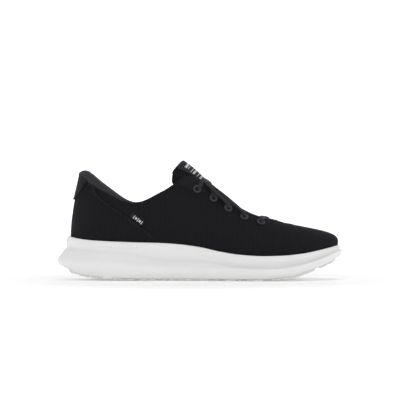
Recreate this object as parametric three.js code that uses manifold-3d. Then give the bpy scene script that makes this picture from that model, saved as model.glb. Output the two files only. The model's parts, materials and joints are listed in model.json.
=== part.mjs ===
// A right low-cut lace-up sports shoe with a heel that folds down to let the foot in.
// Millimetres, +Z up, +X towards the toe, +Y towards the inner side of the foot.
// The ground is z = 0 and the sole's plan is centred on the origin.
import * as THREE from "three";
import { mergeVertices } from "three/addons/utils/BufferGeometryUtils.js";
import Module from "manifold-3d";

const wasm = await Module();
wasm.setup();

// ---------------------------------------------------------------- driving dimensions
const soleLength = 297.4; // heel tip to toe tip
const ballHalfWidth = 54; // half the widest forefoot
const heelHalfWidth = 42;
const outerWaist = 41; // waist edge to the centre line, outer side
const innerWaist = 35.5;
const stackHeight = 39; // sole rim above the ground beside the heel
// The lines and points below are drawn for these sizes, and scale from them.
const [nominalLength, nominalStack, nominalUpper] = [297.4, 39, 2];

const padThickness = 2.2; // rubber of the outsole pads
const padInset = 1.6; // from the midsole's lower edge
const sipeWidth = 1.3;
const sipeDepth = 1.2;
const rimWidth = 2.8; // foam wall that wraps the upper
const rimWall = 8.5; // depth of the dish inside the rim
const grooveDrop = 1.7; // height of the groove along the side wall
const boardThickness = 1.5;
const insoleThickness = 4;

const upperThickness = 2;
const collarThickness = 10; // padded roll at the back
const counterThickness = 1.2;
const counterTop = 60; // low enough for the pull tab to come down outside it
const puffThickness = 0.9;
const puffBack = 110; // rear edge of the toe stiffener
const stayThickness = 0.9;
const tabThickness = 2;
const arcThickness = 1.8; // spring strip under the collar
const arcHeight = 5;

const eyeletFlange = 4.15; // radii
const eyeletBore = 2.5;
const eyeletBarrel = 3;
const flangeThickness = 0.8;
const laceDiameter = 1.5;

const tongueThickness = 4.2;
const tongueCrown = 21.5; // radius of its arch across the foot
const labelThickness = 0.8;
const tagLength = 15;
const tagWidth = 6;
const tagThickness = 0.8;

const gap = 0.35; // clearance between curved pieces that touch
const tongueBack = 8; // degrees that the tongue's free end leans back
const perSpan = 3; // steps between two outline points

// ---------------------------------------------------------------- curves
const vec = (x, y, z) => new THREE.Vector3(x, y, z);
const halfLength = soleLength / 2;

// A smooth line z(s) through [s, z] points that never swings past them.
function along(points) {
  const slope = points.slice(1).map(([s, z], i) => (z - points[i][1]) / (s - points[i][0]));
  const tangent = points.map((_, i) => {
    const [a, b] = [slope[i - 1] ?? slope[0], slope[i] ?? slope[slope.length - 1]];
    return a * b > 0 ? (2 * a * b) / (a + b) : 0;
  });
  return (s) => {
    const last = points.length - 2;
    const after = points.findIndex(([at]) => at > s);
    const k = after < 0 ? last : Math.max(0, after - 1);
    const h = points[k + 1][0] - points[k][0];
    const t = THREE.MathUtils.clamp((s - points[k][0]) / h, 0, 1);
    const low = (1 + 2 * t) * (1 - t) ** 2 * points[k][1] + t * (1 - t) ** 2 * h * tangent[k];
    return low + t * t * (3 - 2 * t) * points[k + 1][1] + t * t * (t - 1) * h * tangent[k + 1];
  };
}

const ring = (points) => new THREE.CatmullRomCurve3(points, true, "catmullrom", 0.5);

// Sole plan: [station along the half length, sideways], from the heel round the outer side.
const planPoints = [
  [-1, 0],
  [-0.948, -0.52 * heelHalfWidth],
  [-0.794, -0.89 * heelHalfWidth],
  [-0.57, -heelHalfWidth],
  [-0.3, -outerWaist],
  [-0.03, -1.05 * outerWaist],
  [0.235, -0.93 * ballHalfWidth],
  [0.47, -ballHalfWidth],
  [0.706, -0.91 * ballHalfWidth],
  [0.885, -0.62 * ballHalfWidth],
  [0.978, -0.26 * ballHalfWidth],
  [1, 0.1 * ballHalfWidth],
  [0.978, 0.42 * ballHalfWidth],
  [0.885, 0.7 * ballHalfWidth],
  [0.706, 0.93 * ballHalfWidth],
  [0.47, ballHalfWidth],
  [0.235, 0.89 * ballHalfWidth],
  [-0.03, 1.04 * innerWaist],
  [-0.3, innerWaist],
  [-0.57, 0.93 * heelHalfWidth],
  [-0.794, 0.87 * heelHalfWidth],
  [-0.948, 0.51 * heelHalfWidth],
];
const spans = planPoints.length;
const around = spans * perSpan;
const rawPlan = ring(planPoints.map(([s, y]) => vec(s * halfLength, y, 0)));
const planBox = new THREE.Box3().setFromPoints(rawPlan.getPoints(around));
const planCentre = planBox.getCenter(vec(0, 0, 0));

// The plan edge at u, moved inwards by inset.
function plan(u, inset) {
  const at = rawPlan.getPoint(u).sub(planCentre);
  const way = rawPlan.getTangent(u);
  return vec(at.x - way.y * inset, at.y + way.x * inset, 0);
}
const station = (x) => x / halfLength;

// Heights and insets of the sole's levels against the station.
const rise = stackHeight / nominalStack;
const baseLine = along([
  [-0.93, 8.2], [-0.85, 5.4], [-0.757, 2.9], [-0.613, 1], [-0.36, 0], [0.45, 0],
  [0.565, 1.5], [0.645, 2.9], [0.725, 6.4], [0.8, 10.4], [0.92, 17.4], [0.966, 21.3],
]);
const rimLine = along([
  [-0.93, 46.2 * rise], [-0.89, 44.6 * rise], [-0.84, 43.2 * rise], [-0.75, 41.7 * rise],
  [-0.5, 39.9 * rise], [-0.277, stackHeight], [-0.137, 37.6 * rise], [0, 34.8 * rise],
  [0.143, 30.2 * rise], [0.282, 27.1 * rise], [0.44, 25.8 * rise], [0.562, 26.2 * rise],
  [0.702, 28.1 * rise], [0.842, 32 * rise], [0.97, 36.2 * rise],
]);
const grooveLine = along([
  [-0.94, 34], [-0.84, 32.6], [-0.613, 30], [-0.47, 28.3], [-0.34, 23.2], [-0.2, 21.6],
  [-0.01, 21.6], [0.163, 17.2], [0.373, 14], [0.6, 15], [0.8, 21.5], [0.97, 32],
]);
const flareLine = along([
  [-0.98, 20.5], [-0.84, 19], [-0.5, 16.5], [-0.2, 13.5], [0.16, 12], [0.45, 11], [0.7, 15.5],
  [0.9, 25], [0.99, 30],
]);
const creaseLine = along([
  [-0.98, 16.5], [-0.82, 13.8], [-0.54, 11.8], [-0.3, 8.6], [0, 8.6], [0.3, 7.8], [0.48, 6.8],
  [0.62, 8.4], [0.76, 12.6], [0.97, 24.4],
]);
const baseInset = along([[-1, 12], [-0.8, 9], [0, 8], [0.6, 7], [1, 5]]);
const creaseInset = along([[-1, 1.8], [0, 2.2], [1, 2.6]]);
const grooveInset = along([[-1, 8.6], [-0.8, 7], [0, 6], [0.5, 4.6], [0.8, 2.8], [1, 1.2]]);
const rimInset = along([[-1, 11.2], [-0.8, 6.8], [0, 5.6], [0.5, 4.6], [0.8, 3.6], [1, 3.2]]);

// One closed ring of the sole: its plan inset and its height.
function level(inset, height) {
  return Array.from({ length: around }, (_, i) => {
    const u = i / around;
    const at = plan(u, inset(station(plan(u, 0).x)));
    at.z = height(station(at.x));
    return at;
  });
}
const featherInset = (s) => rimInset(s) + rimWidth + gap;
const floorLine = (s) => rimLine(s) - rimWall;

// ---------------------------------------------------------------- the upper's surface
// Ribs from the heel centre round the outer side to the toe centre. top is the free edge,
// rise and bulge lead the rib off the rim, and out is its handle under the free edge.
const ribs = [
  { top: [-125.2, 0, 106.5], rise: 21, bulge: -0.3, out: [-4.6, 0, -20] },
  { top: [-118.8, 18, 103.8], rise: 21, bulge: 0.8, out: [-4, 2, -20] },
  { top: [-99, 28.5, 93.3], rise: 18, bulge: 2.5, out: [-2, 4.5, -17] },
  { top: [-68, 31, 79.8], rise: 13, bulge: 3, out: [0, 4.5, -12] },
  { top: [-38, 28.5, 91.6], rise: 16, bulge: 3, out: [1, 6, -15] },
  { top: [-12, 23.5, 107], rise: 21, bulge: 2.5, out: [4, 9, -17] },
  { top: [8, 19, 99.2], rise: 21, bulge: 2.5, out: [6, 9, -14] },
  { top: [29, 15.5, 83.2], rise: 17, bulge: 2.5, out: [8, 11, -9] },
  { top: [49, 12.5, 71], rise: 14, bulge: 2.5, out: [12, 15, -6] },
  { top: [62, 9.5, 65.6], rise: 12, bulge: 2.5, out: [18, 17, -5] },
  { top: [69.5, 5, 64], rise: 12, bulge: 2, out: [32, 14, -9] },
  { top: [71.5, 0, 63.9], rise: 14, bulge: 1.3, out: [47, 0, -13] },
];
const lengthen = soleLength / nominalLength;
const half = ribs.length - 1;
const ribAt = (i) => ribs[i <= half ? i : spans - i];
const sideOf = (i) => (i <= half ? -1 : 1);
const everyRib = (make) => ring(Array.from({ length: spans }, (_, i) => make(ribAt(i), sideOf(i))));
const topEdge = everyRib((r, side) => vec(r.top[0] * lengthen, side * r.top[1], r.top[2]));
const lowHandle = everyRib((r) => vec(0, r.bulge, r.rise));
const topHandle = everyRib((r, side) => vec(r.out[0] * lengthen, side * r.out[1], r.out[2]));
const wallShare = 0.12; // share of v that stands inside the rim

// A point of the outer face: u runs round the foot, v from the floor of the dish to the edge.
function face(u, v) {
  const way = rawPlan.getTangent(u);
  const foot = plan(u, featherInset(station(plan(u, 0).x)));
  const floor = floorLine(station(foot.x)) + gap;
  const rim = rimLine(station(foot.x));
  if (v < wallShare) return foot.setZ(THREE.MathUtils.lerp(floor, rim, v / wallShare));
  foot.z = rim;
  const low = lowHandle.getPoint(u);
  const lift = vec(way.y * low.y, -way.x * low.y, low.z).add(foot);
  const top = topEdge.getPoint(u);
  const under = topHandle.getPoint(u).add(top);
  return new THREE.CubicBezierCurve3(foot, lift, under, top).getPoint((v - wallShare) / (1 - wallShare));
}
const wrap = (u) => u - Math.floor(u);
function outward(u, v) {
  const e = 0.004;
  const [v0, v1] = [Math.max(0, v - e), Math.min(1, v + e)];
  const du = face(wrap(u + e), v).sub(face(wrap(u - e), v));
  const dv = face(wrap(u), v1).sub(face(wrap(u), v0));
  return du.cross(dv).normalize();
}
// The same face moved outwards by lift, or inwards where lift is negative.
const skin = (u, v, lift) => outward(u, v).multiplyScalar(lift).add(face(wrap(u), v));

// The u and v where the outer side's face shows at x, z in side view.
function locate(x, z) {
  let best = { miss: Infinity };
  for (let step = 0.25, u0 = 0.25, v0 = 0.5; step > 1e-5; step /= 2, u0 = best.u, v0 = best.v)
    for (let i = -4; i <= 4; i++)
      for (let j = -4; j <= 4; j++) {
        const u = THREE.MathUtils.clamp(u0 + (i * step) / 4, 0.001, 0.499);
        const v = THREE.MathUtils.clamp(v0 + (j * step) / 2, 0.14, 1);
        const p = face(u, v);
        const miss = Math.hypot(p.x - x, p.z - z);
        if (miss < best.miss) best = { miss, u, v };
      }
  return best;
}

// ---------------------------------------------------------------- solids
// Skins a row of closed loops. Open rows get end caps, as fans or as a ladder of rungs.
function loft(loops, ends) {
  const n = loops[0].length;
  const points = loops.flat();
  const faces = [];
  const quad = (a, b, c, d) => faces.push(a, b, c, a, c, d);
  const rows = ends === "closed" ? loops.length : loops.length - 1;
  for (let r = 0; r < rows; r++)
    for (let i = 0; i < n; i++) {
      const [here, next] = [r * n, ((r + 1) % loops.length) * n];
      quad(here + i, here + ((i + 1) % n), next + ((i + 1) % n), next + i);
    }
  if (ends !== "closed")
    for (const [base, flip] of [[0, true], [(loops.length - 1) * n, false]]) {
      const cap = [];
      if (ends === "ladder")
        for (let i = 0; i < n / 2; i++) {
          const [a, b, c, d] = [i, i + 1, n - i - 1, (n - i) % n];
          if (b !== c) cap.push(base + a, base + b, base + c);
          if (i > 0) cap.push(base + a, base + c, base + d);
        }
      else {
        const middle = points.push(
          loops[base / n].reduce((sum, p) => sum.add(p), vec(0, 0, 0)).divideScalar(n),
        );
        for (let i = 0; i < n; i++) cap.push(middle - 1, base + i, base + ((i + 1) % n));
      }
      faces.push(...(flip ? cap.reverse() : cap));
    }
  const volume = (list) => {
    let sum = 0;
    for (let i = 0; i < list.length; i += 3)
      sum += points[list[i]].dot(points[list[i + 1]].clone().cross(points[list[i + 2]]));
    return sum;
  };
  const geometry = new THREE.BufferGeometry().setFromPoints(points);
  return geometry.setIndex(volume(faces) < 0 ? faces.reverse() : faces);
}

function toSolid(geometry) {
  const bare = geometry.index ? geometry.toNonIndexed() : geometry.clone();
  bare.deleteAttribute("normal");
  bare.deleteAttribute("uv");
  const merged = mergeVertices(bare, 1e-3);
  const vertProperties = merged.attributes.position.array;
  const triVerts = new Uint32Array(merged.index.array);
  return new wasm.Manifold(new wasm.Mesh({ numProp: 3, vertProperties, triVerts }));
}

function toGeometry(solid) {
  const { vertProperties, triVerts } = solid.getMesh();
  const geometry = new THREE.BufferGeometry();
  geometry.setAttribute("position", new THREE.BufferAttribute(vertProperties, 3));
  return geometry.setIndex(new THREE.BufferAttribute(triVerts, 1));
}

// A slab across the whole shoe with the given side-view outline of [x, z] points.
const slabDepth = 4 * ballHalfWidth;
function sideSlab(outline) {
  const shape = new THREE.Shape(outline.map(([x, z]) => new THREE.Vector2(x, z)));
  const slab = new THREE.ExtrudeGeometry(shape, { depth: slabDepth, bevelEnabled: false });
  return toSolid(slab.rotateX(Math.PI / 2).translate(0, slabDepth / 2, 0));
}

// A shell between two lifts of the upper's face, all round the foot.
function shell(outer, inner, vFrom, vTo, rows) {
  const ladder = Array.from({ length: rows + 1 }, (_, k) => THREE.MathUtils.lerp(vFrom, vTo, k / rows));
  const row = (v, lift) => Array.from({ length: around }, (_, i) => skin(i / around, v, lift));
  const loops = [...ladder.map((v) => row(v, outer)), ...ladder.reverse().map((v) => row(v, inner))];
  return toSolid(loft(loops, "closed"));
}

// ---------------------------------------------------------------- parts list
const shoe = new THREE.Group();
function material(color, roughness, metalness = 0) {
  return new THREE.MeshStandardMaterial({ color, roughness, metalness });
}
const foam = material("#f2f2f0", 0.6);
const rubber = material("#e9e8e4", 0.7);
const knit = material("#17161b", 0.95);
const smoothCloth = material("#2b2b30", 0.85);
const board = material("#c9c2b4", 0.9);
const innerCloth = material("#1d1d20", 0.95);
const stiffener = material("#3a3a3d", 0.6);
const ringMetal = material("#343a42", 0.4, 0.6);
const laceCloth = material("#0f0f12", 0.9);
const labelCloth = material("#26262a", 0.8);

function add(name, shape, look) {
  const geometry = shape.isBufferGeometry ? shape : toGeometry(shape);
  const mesh = new THREE.Mesh(geometry, look);
  mesh.name = name;
  shoe.add(mesh);
  return mesh;
}

// ---------------------------------------------------------------- sole
const flat = (value) => () => value;
const more = (line, extra) => (s) => line(s) + extra;
const midsoleLoops = [
  level(baseInset, more(baseLine, padThickness)),
  level(creaseInset, creaseLine),
  level(flat(0), flareLine),
  level(more(grooveInset, 0.4), grooveLine),
  level(more(grooveInset, -0.6), more(grooveLine, grooveDrop)),
  level(rimInset, more(rimLine, -1)),
  level(more(rimInset, 0.8), rimLine),
  level(more(rimInset, rimWidth), rimLine),
  level(more(rimInset, rimWidth), floorLine),
];
add("midsole", loft(midsoleLoops, "ladder"), foam);

// Sideways reach of an outline at x, on the outer side (-1) or the inner side (1).
function reach(loop, x, side) {
  const edge = loop.filter((p) => Math.sign(p.y - loop[0].y) !== -side);
  const sorted = edge.sort((a, b) => a.x - b.x);
  const i = Math.min(sorted.length - 2, Math.max(0, sorted.findIndex((p) => p.x > x) - 1));
  const [a, b] = [sorted[i], sorted[i + 1]];
  return THREE.MathUtils.lerp(a.y, b.y, THREE.MathUtils.clamp((x - a.x) / (b.x - a.x), 0, 1));
}

// Outsole pads between the flex grooves, each with its own narrow sipes: shares of the half length.
const pads = [
  { from: -0.915, to: -0.676, sipes: [-0.851, -0.759] },
  { from: -0.612, to: -0.299, sipes: [-0.5, -0.41] },
  { from: -0.242, to: 0.063, sipes: [-0.14, -0.04] },
  { from: 0.11, to: 0.447, sipes: [0.194, 0.276, 0.364] },
  { from: 0.494, to: 0.799, sipes: [0.571, 0.648, 0.722] },
  { from: 0.832, to: 0.958, sipes: [0.895] },
];
const padEdge = level(more(baseInset, padInset), baseLine);
function outsolePad({ from, to, sipes }) {
  const steps = 10;
  const stops = Array.from({ length: steps + 1 }, (_, i) => {
    return { x: THREE.MathUtils.lerp(from, to, i / steps) * halfLength, cut: 0 };
  });
  for (const middle of sipes.map((s) => s * halfLength))
    for (const [offset, cut] of [[-0.55, 0], [-0.5, 1], [0.5, 1], [0.55, 0]])
      stops.push({ x: middle + offset * sipeWidth, cut: cut * sipeDepth });
  stops.sort((a, b) => a.x - b.x);
  const loops = stops.map(({ x, cut }) => {
    const low = baseLine(station(x)) + cut;
    const high = baseLine(station(x)) + padThickness - gap;
    const [outer, inner] = [reach(padEdge, x, -1), reach(padEdge, x, 1)];
    return [vec(x, outer, low), vec(x, inner, low), vec(x, inner, high), vec(x, outer, high)];
  });
  return loft(loops, "fan");
}
pads.forEach((pad, i) => add(`outsole_pad_${i + 1}`, outsolePad(pad), rubber));

// Slabs that fill the dish: the board under the foot, then the removable insole.
function footSlab(extraInset, low, high) {
  const inset = more(featherInset, upperThickness + extraInset);
  return loft([level(inset, more(floorLine, low)), level(inset, more(floorLine, high))], "ladder");
}
const boardLow = gap;
const boardHigh = boardLow + boardThickness;
add("strobel_board", footSlab(gap, boardLow, boardHigh), board);
add("insole", footSlab(2 * gap, boardHigh + gap, boardHigh + gap + insoleThickness), innerCloth);

// ---------------------------------------------------------------- upper
// Side-view line of the rear seam, from the collar down and forward to the sole.
const seam = [
  [-107.9, 98], [-107.6, 91.5], [-104, 85.8], [-90.7, 75.7], [-64.1, 59.1], [-41.2, 39.5], [-24, 22],
].map(([x, z]) => [x * lengthen, z]);
const farBack = -1.3 * halfLength;
const aboveAll = 150;
const seamCurve = new THREE.SplineCurve(seam.map(([x, z]) => new THREE.Vector2(x, z)));
const seamLine = seamCurve.getPoints(18).map((p) => [p.x, p.y]);
const heelZone = sideSlab([
  [seam[0][0], aboveAll],
  ...seamLine,
  [seam.at(-1)[0], 0],
  [farBack, 0],
  [farBack, aboveAll],
]);

const eyeletSpots = [[-2.7, 94.2], [14.1, 84.7], [29.1, 74.3], [45.7, 65.5], [63, 60]]
  .map(([x, z]) => locate(x * lengthen, z));
// Each eyelet's axis leaves the foot; the inner side mirrors the outer one.
const eyelets = eyeletSpots.flatMap(({ u, v }, row) =>
  [u, 1 - u].map((turn, side) => ({
    row,
    side,
    u: turn,
    at: face(turn, v),
    axis: outward(turn, v),
    name: `eyelet_${side ? "inner" : "outer"}_${row + 1}`,
  })),
);
function along3(axis) {
  return new THREE.Quaternion().setFromUnitVectors(vec(0, 1, 0), axis);
}
function bore({ at, axis }, radius) {
  const drill = new THREE.CylinderGeometry(radius, radius, 16, 14);
  return toSolid(drill.applyQuaternion(along3(axis)).translate(at.x, at.y, at.z));
}
const drilled = (solid) => eyelets.reduce((s, e) => s.subtract(bore(e, eyeletBarrel + gap)), solid);

const upperShell = shell(0, -upperThickness, 0, 1, 8);
add("heel_panel", upperShell.intersect(heelZone), knit);
add("knit_upper", drilled(upperShell.subtract(heelZone.translate([gap, 0, 0.7 * gap]))), knit);

const counterZone = sideSlab(
  [[-0.5, 45], [-0.6, 54], [-0.75, counterTop], [-1.1, counterTop], [-1.1, 47.5], [-0.8, 44]].map(
    ([s, z]) => [s * halfLength, z],
  ),
);
const counterOuter = -upperThickness - gap;
const counterShell = shell(counterOuter, counterOuter - counterThickness, 0.13, 0.75, 6);
add("heel_counter", counterShell.intersect(counterZone), stiffener);

const puffZone = sideSlab(
  [[puffBack, 32], [1.1 * halfLength, 37], [1.1 * halfLength, aboveAll], [puffBack, aboveAll]],
);
const puffOuter = counterOuter - gap;
const puffShell = shell(puffOuter, puffOuter - puffThickness, 0.14, 0.75, 8);
add("toe_puff", puffShell.intersect(puffZone), stiffener);

// A strip bonded round the throat, which the eyelets clamp.
function throatStay() {
  const from = eyeletSpots[0].u - 0.02;
  const steps = 48;
  const loops = Array.from({ length: steps + 1 }, (_, i) => {
    const u = THREE.MathUtils.lerp(from, 1 - from, i / steps);
    const fold = Math.abs(u - 0.5);
    const low = THREE.MathUtils.lerp(0.94, 0.8, THREE.MathUtils.smoothstep(fold, 0.01, 0.09));
    const down = [low, (low + 0.985) / 2, 0.985];
    const lifts = [gap, gap + stayThickness];
    return [...down.map((v) => skin(u, v, lifts[0])), ...down.reverse().map((v) => skin(u, v, lifts[1]))];
  });
  return toSolid(loft(loops, "ladder"));
}
add("eyestay", drilled(throatStay()), smoothCloth);

const flangeLow = gap + stayThickness + gap;
function eyelet({ at, axis }) {
  const profile = [
    [eyeletBore, -upperThickness - 0.4],
    [eyeletBarrel, -upperThickness - 0.4],
    [eyeletBarrel, flangeLow],
    [eyeletFlange, flangeLow],
    [eyeletFlange - 0.5, flangeLow + flangeThickness],
    [eyeletBore, flangeLow + flangeThickness],
    [eyeletBore, -upperThickness - 0.4],
  ].map(([r, h]) => new THREE.Vector2(r, h));
  return new THREE.LatheGeometry(profile, 14).applyQuaternion(along3(axis)).translate(at.x, at.y, at.z);
}
for (const e of eyelets) add(e.name, eyelet(e), ringMetal);

// Woven tag in front of the rear seam, on the outer side only.
function sideTag() {
  const { u, v } = locate(-61.5 * lengthen, 64.6);
  const normal = outward(u, v);
  const lie = vec(-Math.cos(0.65), 0, Math.sin(0.65));
  lie.sub(normal.clone().multiplyScalar(lie.dot(normal))).normalize();
  const turn = new THREE.Matrix4().makeBasis(lie, normal.clone().cross(lie), normal);
  const at = skin(u, v, gap + tagThickness);
  const plate = new THREE.BoxGeometry(tagLength, tagWidth, tagThickness);
  return plate.applyMatrix4(turn).translate(at.x, at.y, at.z);
}
add("side_tag", sideTag(), labelCloth);

// ---------------------------------------------------------------- folding heel
// Half its height against the ribs passed since the heel's centre.
const collarRise = along([[0, 3.8], [0.8, 4.9], [1.2, 4.8], [2, 3.3], [2.9, 0.9]]);
// Padded collar from dip to dip round the back, a rounded section standing on the panel's edge.
function collarBand() {
  const reachU = 2.86 / spans; // just behind the dip
  const steps = 28;
  const sides = 12;
  const loops = Array.from({ length: steps + 1 }, (_, i) => {
    const u = THREE.MathUtils.lerp(-reachU, reachU, i / steps);
    const back = Math.cos((u / reachU) * (Math.PI / 2)); // 1 at the heel, 0 at the dips
    const full = THREE.MathUtils.smoothstep(back, 0, 0.8);
    const wide = THREE.MathUtils.lerp(4.4, collarThickness, full) / 2;
    const tall = collarRise(Math.abs(u) * spans);
    const edge = face(wrap(u), 1);
    const out = outward(wrap(u), 0.97).setZ(0).normalize();
    const tuck = wide - 0.4; // the roll leans in over the foot
    const core = edge.sub(out.clone().multiplyScalar(tuck)).add(vec(0, 0, tall + gap));
    return Array.from({ length: sides }, (_, k) => {
      const a = (k / sides) * 2 * Math.PI;
      const swell = 1 / (Math.abs(Math.cos(a)) ** 3 + Math.abs(Math.sin(a)) ** 3) ** (1 / 3);
      const sideways = out.clone().multiplyScalar(wide * swell * Math.cos(a));
      return core.clone().add(sideways).add(vec(0, 0, tall * swell * Math.sin(a)));
    });
  });
  return loft(loops, "fan");
}
add("collar_band", collarBand(), smoothCloth);

// Spring strip inside the panel that pushes the collar back up. It stands on two feet, low at the
// quarters, about which the collar turns when the heel is pressed down.
const arcLine = along([[0, 0.92], [1.2, 0.9], [2.2, 0.76], [3.1, 0.52]]); // v against ribs passed
function flexArc() {
  const reachU = 3.1 / spans;
  const steps = 32;
  const [near, far] = [counterOuter, counterOuter - arcThickness];
  const loops = Array.from({ length: steps + 1 }, (_, i) => {
    const u = THREE.MathUtils.lerp(-reachU, reachU, i / steps);
    const high = arcLine(Math.abs(u) * spans);
    const low = high - arcHeight / 55; // a rib is about 55 mm long here
    return [skin(u, low, near), skin(u, high, near), skin(u, high, far), skin(u, low, far)];
  });
  return loft(loops, "fan");
}
add("flex_arc", flexArc(), stiffener);

// Pull tab that hangs from the collar round the back of the heel.
const tabOutline = [
  [-150, 84.5], [-129.5, 84.3], [-126.5, 86.5], [-115.2, 102.6], [-119.6, 105.8], [-124, 109.6],
  [-150, 111.5],
];
const tabZone = sideSlab(tabOutline.map(([x, z]) => [x * lengthen, z]));
add("pull_tab", shell(gap + tabThickness, gap, 0.5, 0.99, 7).intersect(tabZone), smoothCloth);

// ---------------------------------------------------------------- tongue
// Front face in side view from under the vamp to the free end.
const tongueFront = [
  [84, 54.3], [71.5, 58], [58.6, 62.9], [42, 73.3], [25, 85.8], [12, 97.3], [2.4, 107.1],
  [-8, 116.6], [-17, 123.2],
];
const tongueLine = new THREE.SplineCurve(tongueFront.map(([x, z]) => new THREE.Vector2(x * lengthen, z)));
const tongueHalf = along([[0, 13], [0.2, 16.5], [0.5, 19], [0.78, 20.5], [0.93, 22], [1, 19]]);
const tonguePad = along([
  [0, 2.4], [0.3, tongueThickness], [0.75, 1.3 * tongueThickness], [0.93, 1.5 * tongueThickness], [1, 3],
]);
const tongueSteps = 22;
// A point of the tongue: s runs up the line, y across the foot, and depth from the front face into
// the foot, along (-way.y, way.x). A thicker upper sinks the whole tongue.
function tonguePoint(s, y, depth) {
  const at = tongueLine.getPointAt(s);
  const way = tongueLine.getTangentAt(s);
  const sink = depth + (upperThickness - nominalUpper) + (y * y) / (2 * tongueCrown);
  return vec(at.x - way.y * sink, y, at.y + way.x * sink);
}
// The tongue between two shares of its line, a padded strip whose front and back meet at its edges.
function tonguePiece(from, to, steps) {
  const across = [-1, -0.85, -0.6, -0.3, 0, 0.3, 0.6, 0.85, 1];
  const loops = Array.from({ length: steps + 1 }, (_, i) => {
    const s = THREE.MathUtils.lerp(from, to, i / steps);
    const [w, t] = [tongueHalf(s), tonguePad(s)];
    const soft = (k) => 0.5 * t * Math.abs(k) ** 4 * 0.8;
    const front = across.map((k) => tonguePoint(s, k * w, soft(k)));
    const back = across.map((k) => tonguePoint(s, k * w, t - soft(k))).reverse();
    return [...front, ...back];
  });
  return toSolid(loft(loops, "ladder"));
}
const tonguePivotShare = 0.8;
const pivot = tonguePoint(tonguePivotShare, 0, 0);
const pivotWay = tongueLine.getTangentAt(tonguePivotShare);
const lean = Math.atan2(pivotWay.y, pivotWay.x);
// A block on one side of the line across the tongue through the pivot, turned by tilt.
function halfSpace(tilt, upper) {
  const size = 200;
  const block = new THREE.BoxGeometry(size, size, size);
  block.translate((upper ? 1 : -1) * (size / 2 + gap / 2), 0, 0);
  return toSolid(block.rotateY(-lean - tilt).translate(pivot.x, 0, pivot.z));
}
const wholeTongue = tonguePiece(0, 1, tongueSteps);
const tiltBack = THREE.MathUtils.degToRad(tongueBack + 2);
add("tongue_base", wholeTongue.intersect(halfSpace(0, false)), knit);
add("tongue_top", wholeTongue.intersect(halfSpace(-tiltBack, true)), knit);

// Woven label folded over the tongue's end: front leaf, fold and back leaf in one strip.
function tongueLabel() {
  const halfWide = 16;
  const steps = 8;
  const leaf = [3, 2, 1, 0].map((k) => 1 - k / tongueSteps);
  const slack = 2 * gap;
  const loops = Array.from({ length: steps + 1 }, (_, i) => {
    const y = THREE.MathUtils.lerp(-halfWide, halfWide, i / steps);
    const tip = tongueLine.getTangentAt(1);
    const over = (depth, ahead) => {
      const p = tonguePoint(1, y, depth);
      return vec(p.x + tip.x * ahead, y, p.z + tip.y * ahead);
    };
    const wrapAt = (lift) => [
      ...leaf.map((s) => tonguePoint(s, y, -lift)),
      over(-lift * 0.7, lift * 0.9 + 0.3),
      over(tonguePad(1) + lift * 0.7, lift * 0.9 + 0.3),
      ...leaf.slice().reverse().map((s) => tonguePoint(s, y, tonguePad(s) + lift)),
    ];
    return [...wrapAt(slack), ...wrapAt(slack + labelThickness).reverse()];
  });
  return loft(loops, "ladder");
}
add("tongue_label", tongueLabel(), labelCloth);

// ---------------------------------------------------------------- lace
// One lace: in at the top outer eyelet, crossing at each row, a bar at the front, and back up.
const eyeletOf = (row, side) => eyelets.find((e) => e.row === row && e.side === side);
const laceLift = laceDiameter / 2 + gap;
const laceStep = 4; // between two rings of the cord
const off = (e, lift, sideways = 0) => {
  const inwards = vec(0, e.side ? -1 : 1, 0);
  inwards.sub(e.axis.clone().multiplyScalar(inwards.dot(e.axis))).normalize();
  return e.at.clone().add(e.axis.clone().multiplyScalar(lift)).add(inwards.multiplyScalar(sideways));
};
const outsideLift = flangeLow + flangeThickness + laceLift + 0.6;
const insideLift = -upperThickness - laceLift - 0.4;
const tongueStops = tongueLine.getPoints(60);
const tongueHeight = (x) => tongueStops.reduce((a, b) => (Math.abs(b.x - x) < Math.abs(a.x - x) ? b : a)).y;
// From one eyelet over its own edge, across the tongue, under the other edge and up the next one.
function crossing(from, to, high) {
  const far = 1 - to.u; // the next row's place on the side that the lace leaves
  const over = THREE.MathUtils.lerp(from.u, far, 0.3);
  const under = THREE.MathUtils.lerp(to.u, 1 - from.u, 0.3);
  const middleX = (from.at.x + to.at.x) / 2 + 2;
  const above = gap + stayThickness + laceLift;
  return [
    off(from, outsideLift - 0.4, 0.2),
    off(from, outsideLift, 4.5),
    skin(over, 0.985, above + 0.4),
    vec(middleX, 0, tongueHeight(middleX) + (high ? 5 : 2.1)),
    skin(under, 0.985, insideLift),
    off(to, insideLift - 0.3, 0.9),
    off(to, insideLift + 1.2, 0),
    off(to, 0),
  ];
}
function laceRoute() {
  const strand = (side) => [0, 1, 2, 3].flatMap((row) => {
    const here = (side + row) % 2;
    return crossing(eyeletOf(row, here), eyeletOf(row + 1, 1 - here), here === 0);
  });
  const start = (side) => {
    const top = eyeletOf(0, side);
    return [
      off(top, insideLift - 1, -4.5),
      off(top, insideLift - 0.7, -0.8),
      off(top, insideLift + 1.2, 0),
      off(top, 0),
    ];
  };
  const [first, last] = [eyeletOf(4, 0), eyeletOf(4, 1)];
  const bar = [
    off(first, outsideLift - 0.4, 0.2),
    off(first, outsideLift, 4.5),
    vec(first.at.x + 1, 0, first.at.z + 9),
    off(last, outsideLift, 4.5),
    off(last, outsideLift - 0.4, 0.2),
  ];
  const left = [...start(0), ...strand(0)];
  const right = [...start(1), ...strand(1)];
  return [...left, ...bar, ...right.reverse()];
}
function lace() {
  const path = new THREE.CatmullRomCurve3(laceRoute(), false, "centripetal");
  const section = new THREE.Shape().absarc(0, 0, laceDiameter / 2, 0, 2 * Math.PI);
  const steps = Math.ceil(path.getLength() / laceStep);
  return new THREE.ExtrudeGeometry(section, { extrudePath: path, steps, curveSegments: 3 });
}
add("lace", toSolid(lace()), laceCloth);

export default shoe;
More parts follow.
